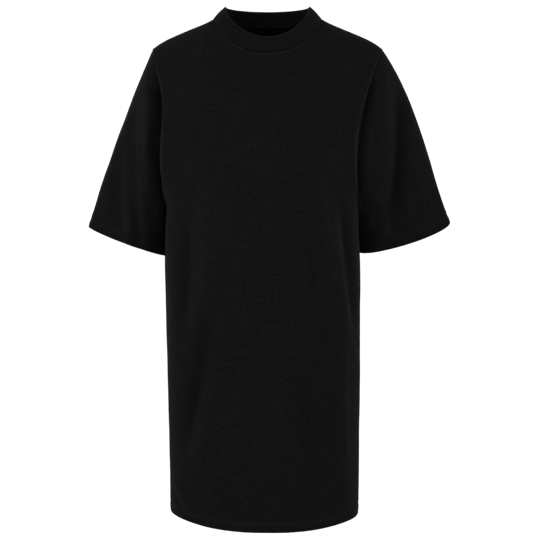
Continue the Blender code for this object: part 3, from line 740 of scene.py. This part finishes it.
def shared_normals(panels):
    """Outward normals of both panels, which agree along the side seams and the shoulder seams."""
    normals = {face: panel_normals(panels[face], face) for face in FACES}
    front, back = normals.values()
    shoulder = len(EDGE_STEPS) + SHOULDER_COLUMNS
    below = slice(0, UNDERARM_ROW + 1)
    for edge in ((below, 0), (below, -1), (-1, slice(0, shoulder)), (-1, slice(-shoulder, None))):
        shared = unit(front[edge] + back[edge])
        front[edge], back[edge] = shared, shared
    return normals


def mitre_armhole(body_normals, rings, ring_normals, side):
    """Mitres the two walls at the armhole where the cloth rounds away, and says how far it does."""
    front, back = body_normals["front"], body_normals["back"]
    body = armhole(front, back, side)
    falls_away = -(unit(rings[1] - rings[0]) * body).sum(-1, keepdims=True)
    mitre = ramp(falls_away / MITRE_FROM)
    shared = unit(body + ring_normals[0])
    ring_normals[0] = unit(ring_normals[0] + (shared - ring_normals[0]) * mitre)
    parts = split_loop(unit(body + (shared - body) * mitre))
    for normals, part in zip((front, back), parts):
        normals[UNDERARM_ROW:, EDGE_COLUMNS[side]] = part
    return mitre[:, 0]


def draw_back(points, edge, neighbour, ring=False):
    """Moves one edge of a grid half a seam gap into its piece, square to the seam."""
    line = points[edge].copy()
    along = np.roll(line, -1, 0) - np.roll(line, 1, 0) if ring else np.gradient(line, axis=0)
    inward = square_to(points[neighbour] - line, unit(along))
    points[edge] = line + unit(inward) * SEAM_GAP / 2


def fold_height(points, face):
    """How far the large folds of one face lift the cloth at each point."""
    x, z = points[..., 0], points[..., 2]
    total = np.zeros_like(x)
    for fold in FOLDS[face]:
        along = (fold.top_z - z) / (fold.top_z - fold.low_z)
        line = fold.top_x + (fold.low_x - fold.top_x) * along + fold.bow * 4 * along * (1 - along)
        total += fold.height * faded_ends(along, FOLD_FADE) * bump(x, line, fold.width)
    return total


def crease_height(points, face):
    """How far the finer creases of one face lift the cloth at each point."""
    x, z = points[..., 0], points[..., 2]
    total = np.zeros_like(x)
    for crease in CREASES[face]:
        way_x, way_z = crease.to_x - crease.from_x, crease.to_z - crease.from_z
        length = math.hypot(way_x, way_z)
        along = ((x - crease.from_x) * way_x + (z - crease.from_z) * way_z) / length**2
        across = ((x - crease.from_x) * way_z - (z - crease.from_z) * way_x) / length
        across = across - crease.bow * 4 * along * (1 - along)
        total += crease.height * faded_ends(along, CREASE_FADE) * bump(across, 0, crease.width)
    return total


def sleeve_lift(height, rings, side):
    """How far the folds or the creases lift a sleeve, on its front and on its back."""
    turn = forward_turn(rings)
    front, back = np.clip(turn, 0, 1) ** SLEEVE_FOLD_POWER, np.clip(-turn, 0, 1) ** SLEEVE_FOLD_POWER
    return height(rings, side + "_front") * front + height(rings, side + "_back") * back


def wander(s, seed):
    """A smooth, uneven wave of about -1 to 1 along a line, with a length of about 1."""
    random = np.random.default_rng(seed)
    total = np.zeros_like(s)
    for rate in WANDER_RATES:
        total += np.sin(s * rate * 2 * math.pi + random.uniform(0, 2 * math.pi)) / rate**0.5
    return total / WANDER_RANGE


def unevenness(points, seed):
    """Slight, mostly upright waves all over the cloth."""
    random = np.random.default_rng(seed)
    total = np.zeros(points.shape[:-1])
    for _ in range(UNEVEN_WAVES):
        length = random.uniform(*UNEVEN_LENGTHS)
        tilt = random.normal(0, UNEVEN_TILT)
        way = np.array([math.cos(tilt), UNEVEN_DEPTHWISE * math.cos(tilt), math.sin(tilt)]) / length
        phase = random.uniform(0, 2 * math.pi)
        total += np.sin(points @ way * 2 * math.pi + phase) * length / UNEVEN_USUAL_LENGTH
    return total / math.sqrt(UNEVEN_WAVES)


def seam_height(seam, distance, along, seed):
    """The groove, roll and puckers beside a seam, at a distance from it and a place along it."""
    seed = seed + seam.number
    height = seam.roll * bump(distance, seam.roll_at, seam.roll_width)
    height = height - seam.groove * bump(distance, 0, seam.groove_width)
    steady, changing = PUCKER_STEADY
    wave = wander(along / seam.wavelength, seed)
    wave = wave * (steady + changing * wander(along / PUCKER_SPELL, seed + 1))
    return height + seam.pucker * wave * ramp(distance / PUCKER_START) * np.exp(-distance / seam.reach)


def groove_filled(seam, distance, depth):
    """How far a seam's groove is filled in, where its depth is less than whole."""
    return seam.groove * bump(distance, 0, seam.groove_width) * (1 - np.maximum(depth, 0))


def hem_height(distance, along, seed):
    """The channel under a hem's stitches, the soft puffs beside it, and its puckers."""
    channel = sum(bump(distance, row, HEM_CHANNEL_WIDTH) for row in STITCH_ROWS)
    puff = sum(share * bump(distance, place, width) for share, place, width in HEM_PUFFS)
    steady, changing = HEM_STEADY
    wave = wander((along + distance * HEM_SLANT) / HEM_WAVELENGTH, seed)
    wave = wave * (steady + changing * wander(along / HEM_SPELL, seed + 1))
    near = ramp(distance / HEM_PUCKER_START) * bump(distance, *HEM_PUCKER_PLACE)
    return -HEM_CHANNEL * channel + HEM_PUFF * puff + HEM_PUCKER * wave * near


def neck_depth(x):
    """How deep the neck's groove is at x: 1 in the middle, and below 0 where a painted highlight line takes
    its place.
    """
    return np.clip(1 - NECK_LIGHTER * (x / NECK_HALF_WIDTH) ** 2, -1, 1)


def beside_neck():
    """1 in a panel's columns that end at the neckline, and 0 in those that end at a shoulder."""
    return ramp((NECK_SHARE + NECK_END / 2 - np.abs(columns())) / NECK_END)


def above_underarm(points, side):
    """1 in a panel's rows that end at the armhole seam, and 0 in those that end at the side seam."""
    return ramp((points[:, [EDGE_COLUMNS[side]], 2] - UNDERARM_Z) / UNDERARM_TURN)


def panel_heights(points, face, kept):
    """How far the fine detail of the front or the back lifts each point of its outer face."""
    seeds = SEEDS[face]
    across, up = distance_along(points, 1), distance_along(points, 0)
    from_top = up[-1:] - up
    clear = ramp(from_top / PANEL_CLEAR)
    height = np.zeros_like(up)
    for number, (side, away) in enumerate(from_sides(points).items()):
        place = up[:, [EDGE_COLUMNS[side]]]
        side_seam = seam_height(SIDE_SEAM, away, place, seeds.seams + number)
        armhole_seam = seam_height(ARMHOLE_BODY, away, place, seeds.seams + number)
        armhole_seam = armhole_seam + groove_filled(ARMHOLE_BODY, away, kept[side])
        share = above_underarm(points, side)
        height += side_seam * (1 - share) + armhole_seam * share
        clear = clear * ramp(away / PANEL_CLEAR)
    neck = seam_height(NECK_SEAM, from_top, across[-1:], seeds.seams)
    neck = neck + groove_filled(NECK_SEAM, from_top, neck_depth(points[-1:, :, 0]))
    shoulder = seam_height(SHOULDER_SEAM, from_top, across[-1:], seeds.seams)
    height += neck * beside_neck() + shoulder * (1 - beside_neck())
    height += hem_height(up, across[:1], seeds.hem)
    return height + (crease_height(points, face) + UNEVEN * unevenness(points, seeds.cloth)) * clear


def sleeve_heights(rings, side, mitre):
    """How far the fine detail of a sleeve lifts each point of its outer face."""
    seeds = SEEDS[side]
    down, around = distance_along(rings, 0), distance_around(rings)
    underarm = [len(rings[0]) // 2]
    from_underarm = np.abs(around - around[:, underarm])
    height = seam_height(ARMHOLE_SLEEVE, down, around[:1], seeds.seams)
    height += groove_filled(ARMHOLE_SLEEVE, down, mitre)
    height += seam_height(SLEEVE_SEAM, from_underarm, down[:, underarm], seeds.seams)
    height += hem_height(down[-1:] - down, around[-1:], seeds.hem)
    uneven = UNEVEN * unevenness(rings, seeds.cloth)
    return height + (sleeve_lift(crease_height, rings, side) + uneven) * ramp(down / SLEEVE_CLEAR)


def painted_tone(painted_light, distance, depth=1.0):
    """How much painted highlight or painted shade the cloth's colour has at a distance from a seam or an
    edge.
    """
    light = painted_light.light * bump(distance, painted_light.light_at, painted_light.light_width)
    return light - painted_light.dark * depth * bump(distance, 0, painted_light.dark_width)


def panel_painted_light(points, face, lift):
    """The painted highlights and painted shade in the colour of the front or the back, at its seams, its hem
    and its folds.
    """
    up = distance_along(points, 0)
    from_top = up[-1:] - up
    painted_light = FOLD_PAINTED_LIGHT * lift + CREASE_PAINTED_LIGHT * crease_height(points, face) + painted_tone(HEM_PAINTED_HIGHLIGHT, up)
    painted_light += painted_tone(NECK_PAINTED_LIGHT, from_top, neck_depth(points[-1:, :, 0])) * beside_neck()
    painted_light += painted_tone(SEAM_PAINTED_LIGHT, from_top) * (1 - beside_neck())
    start, whole = LOW_ARMHOLE_Z
    low = ramp((start - points[..., 2]) / (start - whole))
    for side, away in from_sides(points).items():
        armhole_tone = painted_tone(ARMHOLE_BODY_PAINTED_HIGHLIGHT, away) * (1 - low)
        armhole_tone = armhole_tone + painted_tone(LOW_ARMHOLE_PAINTED_HIGHLIGHT, away) * low
        share = above_underarm(points, side)
        painted_light += painted_tone(SEAM_PAINTED_LIGHT, away) * (1 - share) + armhole_tone * share
    return painted_light


def rounded_painted_highlight(points, outward):
    """A painted highlight on the front and the back where they round to the sides."""
    fade = between_heights(points[..., 2], ROUND_TOP_Z, ROUND_LOW_Z)
    return ROUND_PAINTED_HIGHLIGHT * bump(np.abs(outward[..., 1]), *ROUND_TURN) * fade


def sleeve_painted_light(rings, side, lift):
    """The painted highlights and painted shade in a sleeve's colour, at its seams, its cuff and its folds,
    and in the valley beside its armhole.
    """
    down, around = distance_along(rings, 0), distance_around(rings)
    from_underarm = np.abs(around - around[:, [len(rings[0]) // 2]])
    painted_light = FOLD_PAINTED_LIGHT * lift + CREASE_PAINTED_LIGHT * sleeve_lift(crease_height, rings, side)
    painted_light += painted_tone(CUFF_PAINTED_HIGHLIGHT, down[-1:] - down) + painted_tone(SEAM_PAINTED_LIGHT, from_underarm)
    # painted shade in the valley's colour, just beside the armhole seam
    return painted_light - VALLEYS[side].darker * bump(down, 0, VALLEY_SHADE_WIDTH)


def allowance(distance):
    """How much thicker the cloth is inside, where a seam's edges are overlocked."""
    return ALLOWANCE_WALL * ramp((ALLOWANCE_WIDTH - distance) / WALL_STEP)


def hem_wall(distance):
    """How thick the cloth is at a distance from its turned hem."""
    return WALL + (HEM_WALL - WALL) * ramp((HEM_DEPTH + WALL_STEP - distance) / WALL_STEP)


def panel_walls(points, kept):
    """How thick the front or the back is: more at its seams' allowances and its turned hem."""
    up = distance_along(points, 0)
    walls = np.maximum(hem_wall(up), WALL + allowance(up[-1:] - up))
    for side, away in from_sides(points).items():
        walls = np.maximum(walls, WALL + allowance(away) * kept[side])
    return walls


def cloth_uv(points, ring):
    """Places on the cloth in metres, across and along it, for its knit."""
    if ring:
        points = closed(points)
    across, along = distance_along(points, 1), distance_along(points, 0)
    middle = across.shape[1] // 2
    return np.stack([across - across[:, [middle]], along], axis=-1)


def new_mesh(name, points, faces):
    """A mesh with smooth shading."""
    mesh = bpy.data.meshes.new(name)
    mesh.from_pydata(points, [], faces)
    mesh.shade_smooth()
    return mesh


def add_object(name, data):
    """Puts a mesh, a lamp or a camera in the scene."""
    made = bpy.data.objects.new(name, data)
    bpy.context.scene.collection.objects.link(made)
    return made


def add_piece(name, mesh):
    """Puts a mesh in the scene and lets it ride on the dress."""
    piece = add_object(name, mesh)
    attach(piece, "root")
    return piece


def ring_faces(first, count):
    """The faces between a ring of points, from a first number on, and the ring after it."""
    ring = [(first + place, first + (place + 1) % count) for place in range(count)]
    return [[near, beside, beside + count, near + count] for near, beside in ring]


def shell_points(outer, normals, walls):
    """A shell's rows of points: along its outer face, round its folded edge, and back inside."""
    radius = walls[-1][:, None] / 2
    onward = unit(square_to(unit(outer[-1] - outer[-2]), normals[-1]))
    middle = outer[-1] - normals[-1] * radius
    turns = np.linspace(0, math.pi, ROUND_STEPS + 1)[1:-1]
    fold = np.array([middle + (normals[-1] * math.cos(turn) + onward * math.sin(turn)) * radius
                     for turn in turns])
    inner = outer - normals * walls[..., None]
    return np.concatenate([outer, fold, inner[::-1]])


def shell_faces(rows, count, ring, folded):
    """The row and column of each corner of a shell's faces: all round its rows, and its side edges."""
    spans = count if ring else count - 1
    row, column = np.meshgrid(np.arange(rows), np.arange(spans), indexing="ij")
    row, column = row.ravel(), column.ravel()
    above = (row + 1) % rows
    faces = np.stack([row, column, row, column + 1, above, column + 1, above, column], axis=-1)
    faces = faces.reshape(-1, 4, 2).tolist()
    if ring:
        return faces
    last_outer = (rows - folded) // 2 - 1
    rims = [[row, row + 1, rows - 2 - row, rows - 1 - row] for row in range(last_outer)]
    rims.append(list(range(last_outer, last_outer + folded + 2)))
    for column, order in ((0, 1), (count - 1, -1)):
        faces += [[[row, column] for row in rim[::order]] for rim in rims]
    return faces


def add_shell(name, outer, normals, walls, painted_light, uv, ring, flip, inside_shade=INSIDE_PAINTED_SHADE):
    """A thin closed shell: its outer face from a seam to a folded edge, the fold, and its inner face."""
    points = shell_points(outer, normals, walls)
    rows, count = points.shape[:2]
    folded = rows - 2 * len(outer)
    corners = shell_faces(rows, count, ring, folded)
    if flip:
        corners = [face[::-1] for face in corners]
    faces = [[row * count + column % count for row, column in face] for face in corners]
    mesh = new_mesh(name, points.reshape(-1, 3).tolist(), faces)

    uvs = np.concatenate([uv, np.repeat(uv[-1:], folded, axis=0), uv[::-1]])
    places = np.array([corner for face in corners for corner in face])
    layer = mesh.uv_layers.new(name=UV_NAME)
    layer.data.foreach_set("uv", uvs[places[:, 0], places[:, 1]].ravel())
    # the outer face carries its painted highlights and painted shade; the inner face gets the inside's
    # painted shade all over
    inside = np.full((rows - len(outer), count), inside_shade)
    painted_light_attr = mesh.attributes.new(name=PAINTED_LIGHT_NAME, type="FLOAT", domain="POINT")
    painted_light_attr.data.foreach_set("value", np.concatenate([painted_light, inside]).ravel())
    mesh.set_sharp_from_angle(angle=math.radians(SHARP_DEGREES))
    return add_piece(name, mesh)


def at_distance(line, place, at):
    """What a line of points or normals has at a distance along it."""
    return np.array([np.interp(at, place, line[:, axis]) for axis in range(3)])


def stitch_points(line, normals, place, start):
    """The points of one stitch on a line: a ring round each of its sections."""
    turns = np.linspace(0, 2 * math.pi, STITCH_SIDES, endpoint=False)
    points = []
    for share, thickness in STITCH_SECTIONS:
        at = start + share * STITCH_LENGTH
        centre = at_distance(line, place, at)
        up = unit(at_distance(normals, place, at))
        side = unit(np.cross(up, at_distance(line, place, at + STITCH_AHEAD) - centre))
        radius = STITCH_RADIUS * thickness
        middle = centre + up * STITCH_RADIUS * STITCH_RAISED * thickness
        points += [middle + (side * math.cos(turn) + up * math.sin(turn)) * radius for turn in turns]
    return points


def stitch_faces(first):
    """The faces of one stitch whose points start at a number: its rings and its two ends."""
    rings = [first + ring * STITCH_SIDES for ring in range(len(STITCH_SECTIONS))]
    faces = [face for ring in rings[:-1] for face in ring_faces(ring, STITCH_SIDES)]
    start, end = ([ring + place for place in range(STITCH_SIDES)] for ring in (rings[0], rings[-1]))
    return faces + [start[::-1], end]


def add_stitches(name, lines, ring):
    """Rows of short raised stitches. Each line is its points and its normals on the outer face."""
    points, faces = [], []
    for line, normals in lines:
        if ring:
            line, normals = (np.concatenate([part, part[:1]]) for part in (line, normals))
        place = distance_along(line, 0)
        for start in np.arange(STITCH_PITCH / 2, place[-1] - STITCH_LENGTH, STITCH_PITCH):
            faces += stitch_faces(len(points))
            points += stitch_points(line, normals, place, start)
    return add_piece(name, new_mesh(name, [tuple(point) for point in points], faces))


def add_hemmed_cloth(name, outer, normals, walls, painted_light, uv, ring, flip):
    """A piece of cloth in place of its CAD node, and the stitches of its hem."""
    piece = add_shell(name + "_cloth", outer, normals, walls, painted_light, uv, ring, flip)
    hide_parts(name)
    rows = [-1 - HEM_STEPS.index(row) for row in STITCH_ROWS]
    return piece, add_stitches(name + "_stitches", [(outer[row], normals[row]) for row in rows], ring)


def fold_sleeve(loop, body_normals, side):
    """A sleeve with its valleys, folds and fine detail, the lift of its folds, and its mitre."""
    rings, places = sleeve(loop, side)
    rings = sink_valleys(rings, side)
    lift = sleeve_lift(fold_height, rings, side) * ramp(places / SLEEVE_FOLD_START)
    rings = rings + sleeve_normals(rings, side) * lift[..., None]
    normals = sleeve_normals(rings, side)
    mitre = mitre_armhole(body_normals, rings, normals, side)
    return rings + normals * sleeve_heights(rings, side, mitre)[..., None], lift, mitre


def kept_at_edges(mitres):
    """How much of its groove and its allowance each panel keeps along each edge: all but at armholes."""
    kept = {face: {} for face in FACES}
    for side in SIDES:
        for face, part in zip(FACES, split_loop(mitres[side])):
            kept[face][side] = np.concatenate([np.ones(UNDERARM_ROW), part])[:, None]
    return kept


def build_sleeve(rings, body_normals, lift, mitre, side):
    """A sleeve's shell and stitches, half a seam gap from the body."""
    normals = sleeve_normals(rings, side)
    mitre_armhole(body_normals, rings, normals, side)
    draw_back(rings, 0, 1, ring=True)
    down = distance_along(rings, 0)
    walls = np.maximum(WALL + allowance(down) * mitre, hem_wall(down[-1:] - down))
    painted_light = sleeve_painted_light(rings, side, lift)
    uv = cloth_uv(rings, True)
    return add_hemmed_cloth("sleeve_" + side, rings, normals, walls, painted_light, uv, True, side == "right")


def build_panel(points, outward, lift, kept, face):
    """The front's or the back's shell and stitches, half a seam gap from the pieces beside it."""
    every_row = slice(None)
    draw_back(points, (every_row, 0), (every_row, 1))
    draw_back(points, (every_row, -1), (every_row, -2))
    draw_back(points, -1, -2)
    walls = panel_walls(points, kept)
    # painted highlights and painted shade at the seams, hem and folds, and a painted highlight where the
    # cloth rounds to the sides
    painted_light = panel_painted_light(points, face, lift) + rounded_painted_highlight(points, outward)
    down = [part[::-1] for part in (points, outward, walls, painted_light, cloth_uv(points, False))]
    return add_hemmed_cloth(face, *down, False, face == "front")


def build_body_and_sleeves():
    """The front, the back and both sleeves, with their stitches."""
    plain = {face: panel(face) for face in FACES}
    inside_edges = 1 - np.abs(columns()) ** SIDE_FADE_POWER
    lifts = {face: fold_height(plain[face], face) * inside_edges for face in FACES}
    folded = {face: plain[face] + panel_normals(plain[face], face) * lifts[face][..., None] for face in FACES}
    normals = shared_normals(folded)
    sleeves, mitres = {}, {}
    for side in SIDES:
        loop = armhole(plain["front"], plain["back"], side)
        sleeves[side], lifts[side], mitres[side] = fold_sleeve(loop, normals, side)
    kept = kept_at_edges(mitres)
    panels = {}
    for face in FACES:
        height = panel_heights(folded[face], face, kept[face])
        panels[face] = folded[face] + normals[face] * height[..., None]

    normals = shared_normals(panels)
    made = {}
    for side in SIDES:
        made["sleeve_" + side] = build_sleeve(sleeves[side], normals, lifts[side], mitres[side], side)
    for face in FACES:
        made[face] = build_panel(panels[face], normals[face], lifts[face], kept[face], face)
    return made


def neckline_ring():
    """The neckline, from the wearer's right round the front to the left, then round the back."""
    u = np.linspace(-NECK_SHARE, NECK_SHARE, NECK_COLUMNS + 1)
    u = np.concatenate([[-1], u, [1]])
    front, back = (yoke_section(1.0, u, face)[1:-1] for face in FACES)
    return np.concatenate([front, back[::-1][1:-1]])


def collar_fold_ring():
    """The collar's folded top edge, in step with the neckline."""
    turn = np.linspace(-math.pi / 2, 3 * math.pi / 2, 2 * NECK_COLUMNS, endpoint=False)
    ahead = np.clip(np.cos(turn), 0, 1)[:, None]
    behind = np.clip(-np.cos(turn), 0, 1)[:, None]
    side = np.array([COLLAR_SIDE_Y, COLLAR_SIDE_Z])
    front = np.array([COLLAR_FRONT_Y, COLLAR_FRONT_Z])
    back = np.array([COLLAR_BACK_Y, COLLAR_BACK_Z])
    powers = np.array([COLLAR_ROUND_POWER, NECK_DIP_POWER])
    depth_and_height = side + (front - side) * ahead**powers + (back - side) * behind**powers
    return np.column_stack([COLLAR_HALF_WIDTH * np.sin(turn), depth_and_height])


def collar_band():
    """The collar's plain outer face, from its seam up, and its outward normals."""
    seam, fold = neckline_ring(), collar_fold_ring()
    up = unit(fold - seam)
    around = unit(np.roll(seam, -1, axis=0) - np.roll(seam, 1, axis=0))
    outward = unit(np.cross(around, up))
    bottom, top = seam + up * SEAM_GAP / 2, fold - up * COLLAR_WALL / 2
    near_seam = np.array(SEAM_STEPS) / COLLAR_DEPTH
    shares = np.concatenate([near_seam[:-1], np.linspace(near_seam[-1], 1, COLLAR_ROWS)])
    rows = np.array([bottom + (top - bottom) * share + outward * COLLAR_BELLY * math.sin(share * math.pi)
                     for share in shares])
    rows = rows[:, ::-1]
    normals = grid_normals(rows, True)
    return rows, normals * np.sign((normals * outward[::-1]).sum(-1, keepdims=True))


def build_collar():
    """The collar, a band folded double with a rounded top edge."""
    seeds = SEEDS["collar"]
    rows, normals = collar_band()
    climb, around = distance_along(rows, 0), distance_around(rows)
    depth = neck_depth(rows[:1, :, 0])
    lift = seam_height(COLLAR_SEAM, climb, around[:1], seeds.seams) + groove_filled(COLLAR_SEAM, climb, depth)
    lift += UNEVEN * COLLAR_UNEVEN * unevenness(rows, seeds.cloth) * ramp(climb / COLLAR_CLEAR)
    rows = rows + normals * lift[..., None]
    walls = np.full(rows.shape[:2], COLLAR_WALL)
    # painted shade in the collar's seam groove and over the whole collar, and a painted highlight along its
    # fold
    painted_light = painted_tone(COLLAR_SEAM_PAINTED_SHADE, climb, depth) + painted_tone(COLLAR_FOLD_PAINTED_HIGHLIGHT, climb[-1:] - climb)
    painted_light += COLLAR_PAINTED_SHADE
    piece = add_shell("collar_cloth", rows, normals, walls, painted_light, cloth_uv(rows, True), True, True, 0.0)
    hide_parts("collar")
    return piece


class Graph:
    """Builds a material's nodes, one call for each."""

    def __init__(self, name):
        self.material = bpy.data.materials.new(name)
        self.material.use_nodes = True
        self.tree = self.material.node_tree
        self.shader = self.tree.nodes["Principled BSDF"]

    def feed(self, node, inputs):
        """Gives a node its inputs, each a value or another node's output."""
        for key, value in inputs.items():
            if isinstance(value, bpy.types.NodeSocket):
                self.tree.links.new(value, node.inputs[key])
            else:
                node.inputs[key].default_value = value

    def node(self, kind, inputs=None, **settings):
        """A node with its settings and inputs."""
        made = self.tree.nodes.new(kind)
        for key, value in settings.items():
            setattr(made, key, value)
        self.feed(made, inputs or {})
        return made

    def math(self, operation, first, second=0.0):
        """One sum on one or two numbers."""
        return self.node("ShaderNodeMath", {0: first, 1: second}, operation=operation).outputs[0]

    def noise(self, vector, scale, detail=2.0, roughness=0.5):
        """Noise from 0 to 1 at a scale, in waves a metre."""
        inputs = {"Vector": vector, "Scale": scale, "Detail": detail, "Roughness": roughness}
        return self.node("ShaderNodeTexNoise", inputs).outputs["Fac"]

    def stretched(self, vector, size, detail, roughness):
        """Noise whose spots have one size across the cloth and another along it."""
        inputs = {0: vector, 1: (1 / size[0], 1 / size[1], 1.0)}
        scaled = self.node("ShaderNodeVectorMath", inputs, operation="MULTIPLY").outputs[0]
        return self.noise(scaled, 1.0, detail, roughness)

    def spread(self, value, low, high, to_low, to_high):
        """Maps a number from one range to another."""
        inputs = {"Value": value, "From Min": low, "From Max": high, "To Min": to_low, "To Max": to_high}
        return self.node("ShaderNodeMapRange", inputs).outputs["Result"]

    def vary(self, noise, middle, reach):
        """Maps noise to values round a middle."""
        return self.spread(noise, *NOISE_RANGE, middle - reach, middle + reach)

    def tinted(self, colour, tone):
        """A colour made lighter or darker by a tone."""
        inputs = {0: colour, "Scale": tone}
        return self.node("ShaderNodeVectorMath", inputs, operation="SCALE").outputs[0]

    def relief(self, height, strength, depth, **below):
        """A bump, on top of the bump below it if there is one."""
        inputs = {"Height": height, "Strength": strength, "Distance": depth, **below}
        return self.node("ShaderNodeBump", inputs).outputs[0]


def knit_height(graph, cloth):
    """The height of a plain knit: upright wales, each of slanting loops."""
    parts = graph.node("ShaderNodeSeparateXYZ", {0: cloth})
    wale = graph.math("DIVIDE", parts.outputs["X"], WALE)
    course = graph.math("DIVIDE", parts.outputs["Y"], COURSE)
    within = graph.math("ABSOLUTE", graph.math("SUBTRACT", graph.math("FRACT", wale), 0.5))
    from_leg = graph.math("ABSOLUTE", graph.math("SUBTRACT", graph.math("MULTIPLY", within, 4.0), 1.0))
    leg = graph.math("SUBTRACT", 1.0, from_leg)
    slant = graph.math("ADD", course, within)
    loop = graph.math("SINE", graph.math("MULTIPLY", slant, 2 * math.pi))
    return graph.math("MULTIPLY", graph.spread(loop, -1.0, 1.0, KNIT_LOW, 1.0), leg)


def jersey_material():
    """Matt black cotton jersey: fine knit, slubs, a mottled dye and a slight soft bloom."""
    graph = Graph("black_jersey")
    cloth = graph.node("ShaderNodeUVMap", uv_map=UV_NAME).outputs["UV"]
    place = graph.node("ShaderNodeTexCoord").outputs["Object"]
    slub = graph.stretched(cloth, SLUB_SIZE, 2.0, 0.6)
    mottle = graph.stretched(cloth, MOTTLE_SIZE, 1.2, 0.5)
    patches = graph.noise(place, 1 / PATCH_SIZE)
    # the painted highlights and painted shade of the mesh attribute scale the base colour
    painted_light_attr = graph.node("ShaderNodeAttribute", attribute_name=PAINTED_LIGHT_NAME).outputs["Fac"]

    tone = graph.math("MULTIPLY", graph.vary(slub, 1.0, SLUB_TONE), graph.vary(mottle, 1.0, MOTTLE_TONE))
    tone = graph.math("MULTIPLY", tone, graph.vary(patches, 1.0, PATCH_TONE))
    tone = graph.math("MULTIPLY", tone, graph.math("ADD", painted_light_attr, 1.0))
    knit = graph.relief(knit_height(graph, cloth), 0.8, KNIT_DEPTH)
    slubs = graph.relief(slub, 0.8, SLUB_DEPTH, Normal=knit)
    fuzz = graph.relief(mottle, 0.7, FUZZ_DEPTH, Normal=slubs)
    rough = graph.vary(mottle, JERSEY_ROUGHNESS, 0.04)
    looks = {"Base Color": graph.tinted(JERSEY_BLACK, tone), "Roughness": rough, "Normal": fuzz}
    graph.feed(graph.shader, {**FINISH, **looks})
    return graph.material


def thread_material():
    """Black sewing thread, a little smoother than the cloth, with its twist."""
    graph = Graph("black_thread")
    place = graph.node("ShaderNodeTexCoord").outputs["Object"]
    twist = graph.noise(place, 1 / TWIST_SIZE, 1.0)
    colour = graph.tinted(THREAD_BLACK, graph.vary(twist, 1.0, THREAD_TONE))
    raised = graph.relief(twist, 0.6, TWIST_DEPTH)
    rough = graph.vary(twist, THREAD_ROUGHNESS, 0.05)
    graph.feed(graph.shader, {**FINISH, "Base Color": colour, "Roughness": rough, "Normal": raised})
    return graph.material


def paint(pieces, material):
    """Gives some pieces a material."""
    for piece in pieces:
        piece.data.materials.clear()
        piece.data.materials.append(material)


def studio_profile():
    """The studio from its middle out: a floor that curves up into a wall, and a domed roof."""
    profile = [(0.0, FLOOR_Z), (STUDIO_RADIUS - STUDIO_CURVE, FLOOR_Z)]
    for turn in np.linspace(0, math.pi / 2, STUDIO_CURVE_STEPS + 1)[1:]:
        profile.append((STUDIO_RADIUS - STUDIO_CURVE + STUDIO_CURVE * math.sin(turn),
                        FLOOR_Z + STUDIO_CURVE * (1 - math.cos(turn))))
    for turn in np.linspace(0, math.pi / 2, STUDIO_ROOF_STEPS + 1)[1:-1]:
        profile.append((STUDIO_RADIUS * math.cos(turn),
                        FLOOR_Z + STUDIO_CURVE + STUDIO_HEIGHT * math.sin(turn)))
    return profile + [(0.0, FLOOR_Z + STUDIO_CURVE + STUDIO_HEIGHT)]


def build_studio():
    """A plain pale floor that curves up, all round, into a plain pale wall and roof."""
    profile = studio_profile()
    points = [(0.0, 0.0, profile[0][1])]
    for radius, z in profile[1:-1]:
        for turn in np.linspace(0, 2 * math.pi, STUDIO_SIDES, endpoint=False):
            points.append((radius * math.cos(turn), radius * math.sin(turn), z))
    points.append((0.0, 0.0, profile[-1][1]))
    rings = [1 + ring * STUDIO_SIDES for ring in range(len(profile) - 2)]
    faces = [face for ring in rings[:-1] for face in ring_faces(ring, STUDIO_SIDES)]
    for side in range(STUDIO_SIDES):
        beside = (side + 1) % STUDIO_SIDES
        faces.append([0, rings[0] + beside, rings[0] + side])
        faces.append([rings[-1] + side, rings[-1] + beside, len(points) - 1])
    graph = Graph("pale_studio")
    graph.feed(graph.shader, STUDIO_FINISH)
    mesh = new_mesh("studio", points, faces)
    mesh.materials.append(graph.material)
    studio = add_object("studio", mesh)
    studio.visible_diffuse = False
    studio.visible_glossy = False
    studio.visible_transmission = False
    studio.visible_shadow = False


def build_lights():
    """Soft boxes round the dress, and a dim even fill."""
    for lamp in LAMPS:
        data = bpy.data.lights.new(lamp.name, "AREA")
        data.shape = "RECTANGLE"
        data.size, data.size_y = lamp.width, lamp.height
        data.energy = lamp.watts
        light = add_object(lamp.name, data)
        light.location = lamp.at
        aim = Vector(LAMPS_AIM) - Vector(lamp.at)
        light.rotation_euler = aim.to_track_quat("-Z", "Y").to_euler()
        light.visible_camera = False
    world = bpy.data.worlds.new("fill")
    world.use_nodes = True
    background = world.node_tree.nodes["Background"]
    background.inputs["Color"].default_value = (1.0, 1.0, 1.0, 1.0)
    background.inputs["Strength"].default_value = FILL
    bpy.context.scene.world = world
    bpy.context.scene.view_settings.view_transform = "Standard"


def build_camera():
    """The camera at the photograph's height, distance and tilt."""
    data = bpy.data.cameras.new("camera")
    data.sensor_width = SENSOR_WIDTH
    data.lens = CAMERA_LENS
    camera = add_object("camera", data)
    camera.location = CAMERA_AT
    camera.rotation_euler = (math.radians(90 - CAMERA_TILT), 0.0, 0.0)
    bpy.context.scene.camera = camera


def build_scene():
    """The whole scene."""
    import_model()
    made = build_body_and_sleeves()
    collar = build_collar()
    paint([cloth for cloth, _ in made.values()] + [collar], jersey_material())
    paint([stitches for _, stitches in made.values()], thread_material())
    build_studio()
    build_lights()
    build_camera()


build_scene()
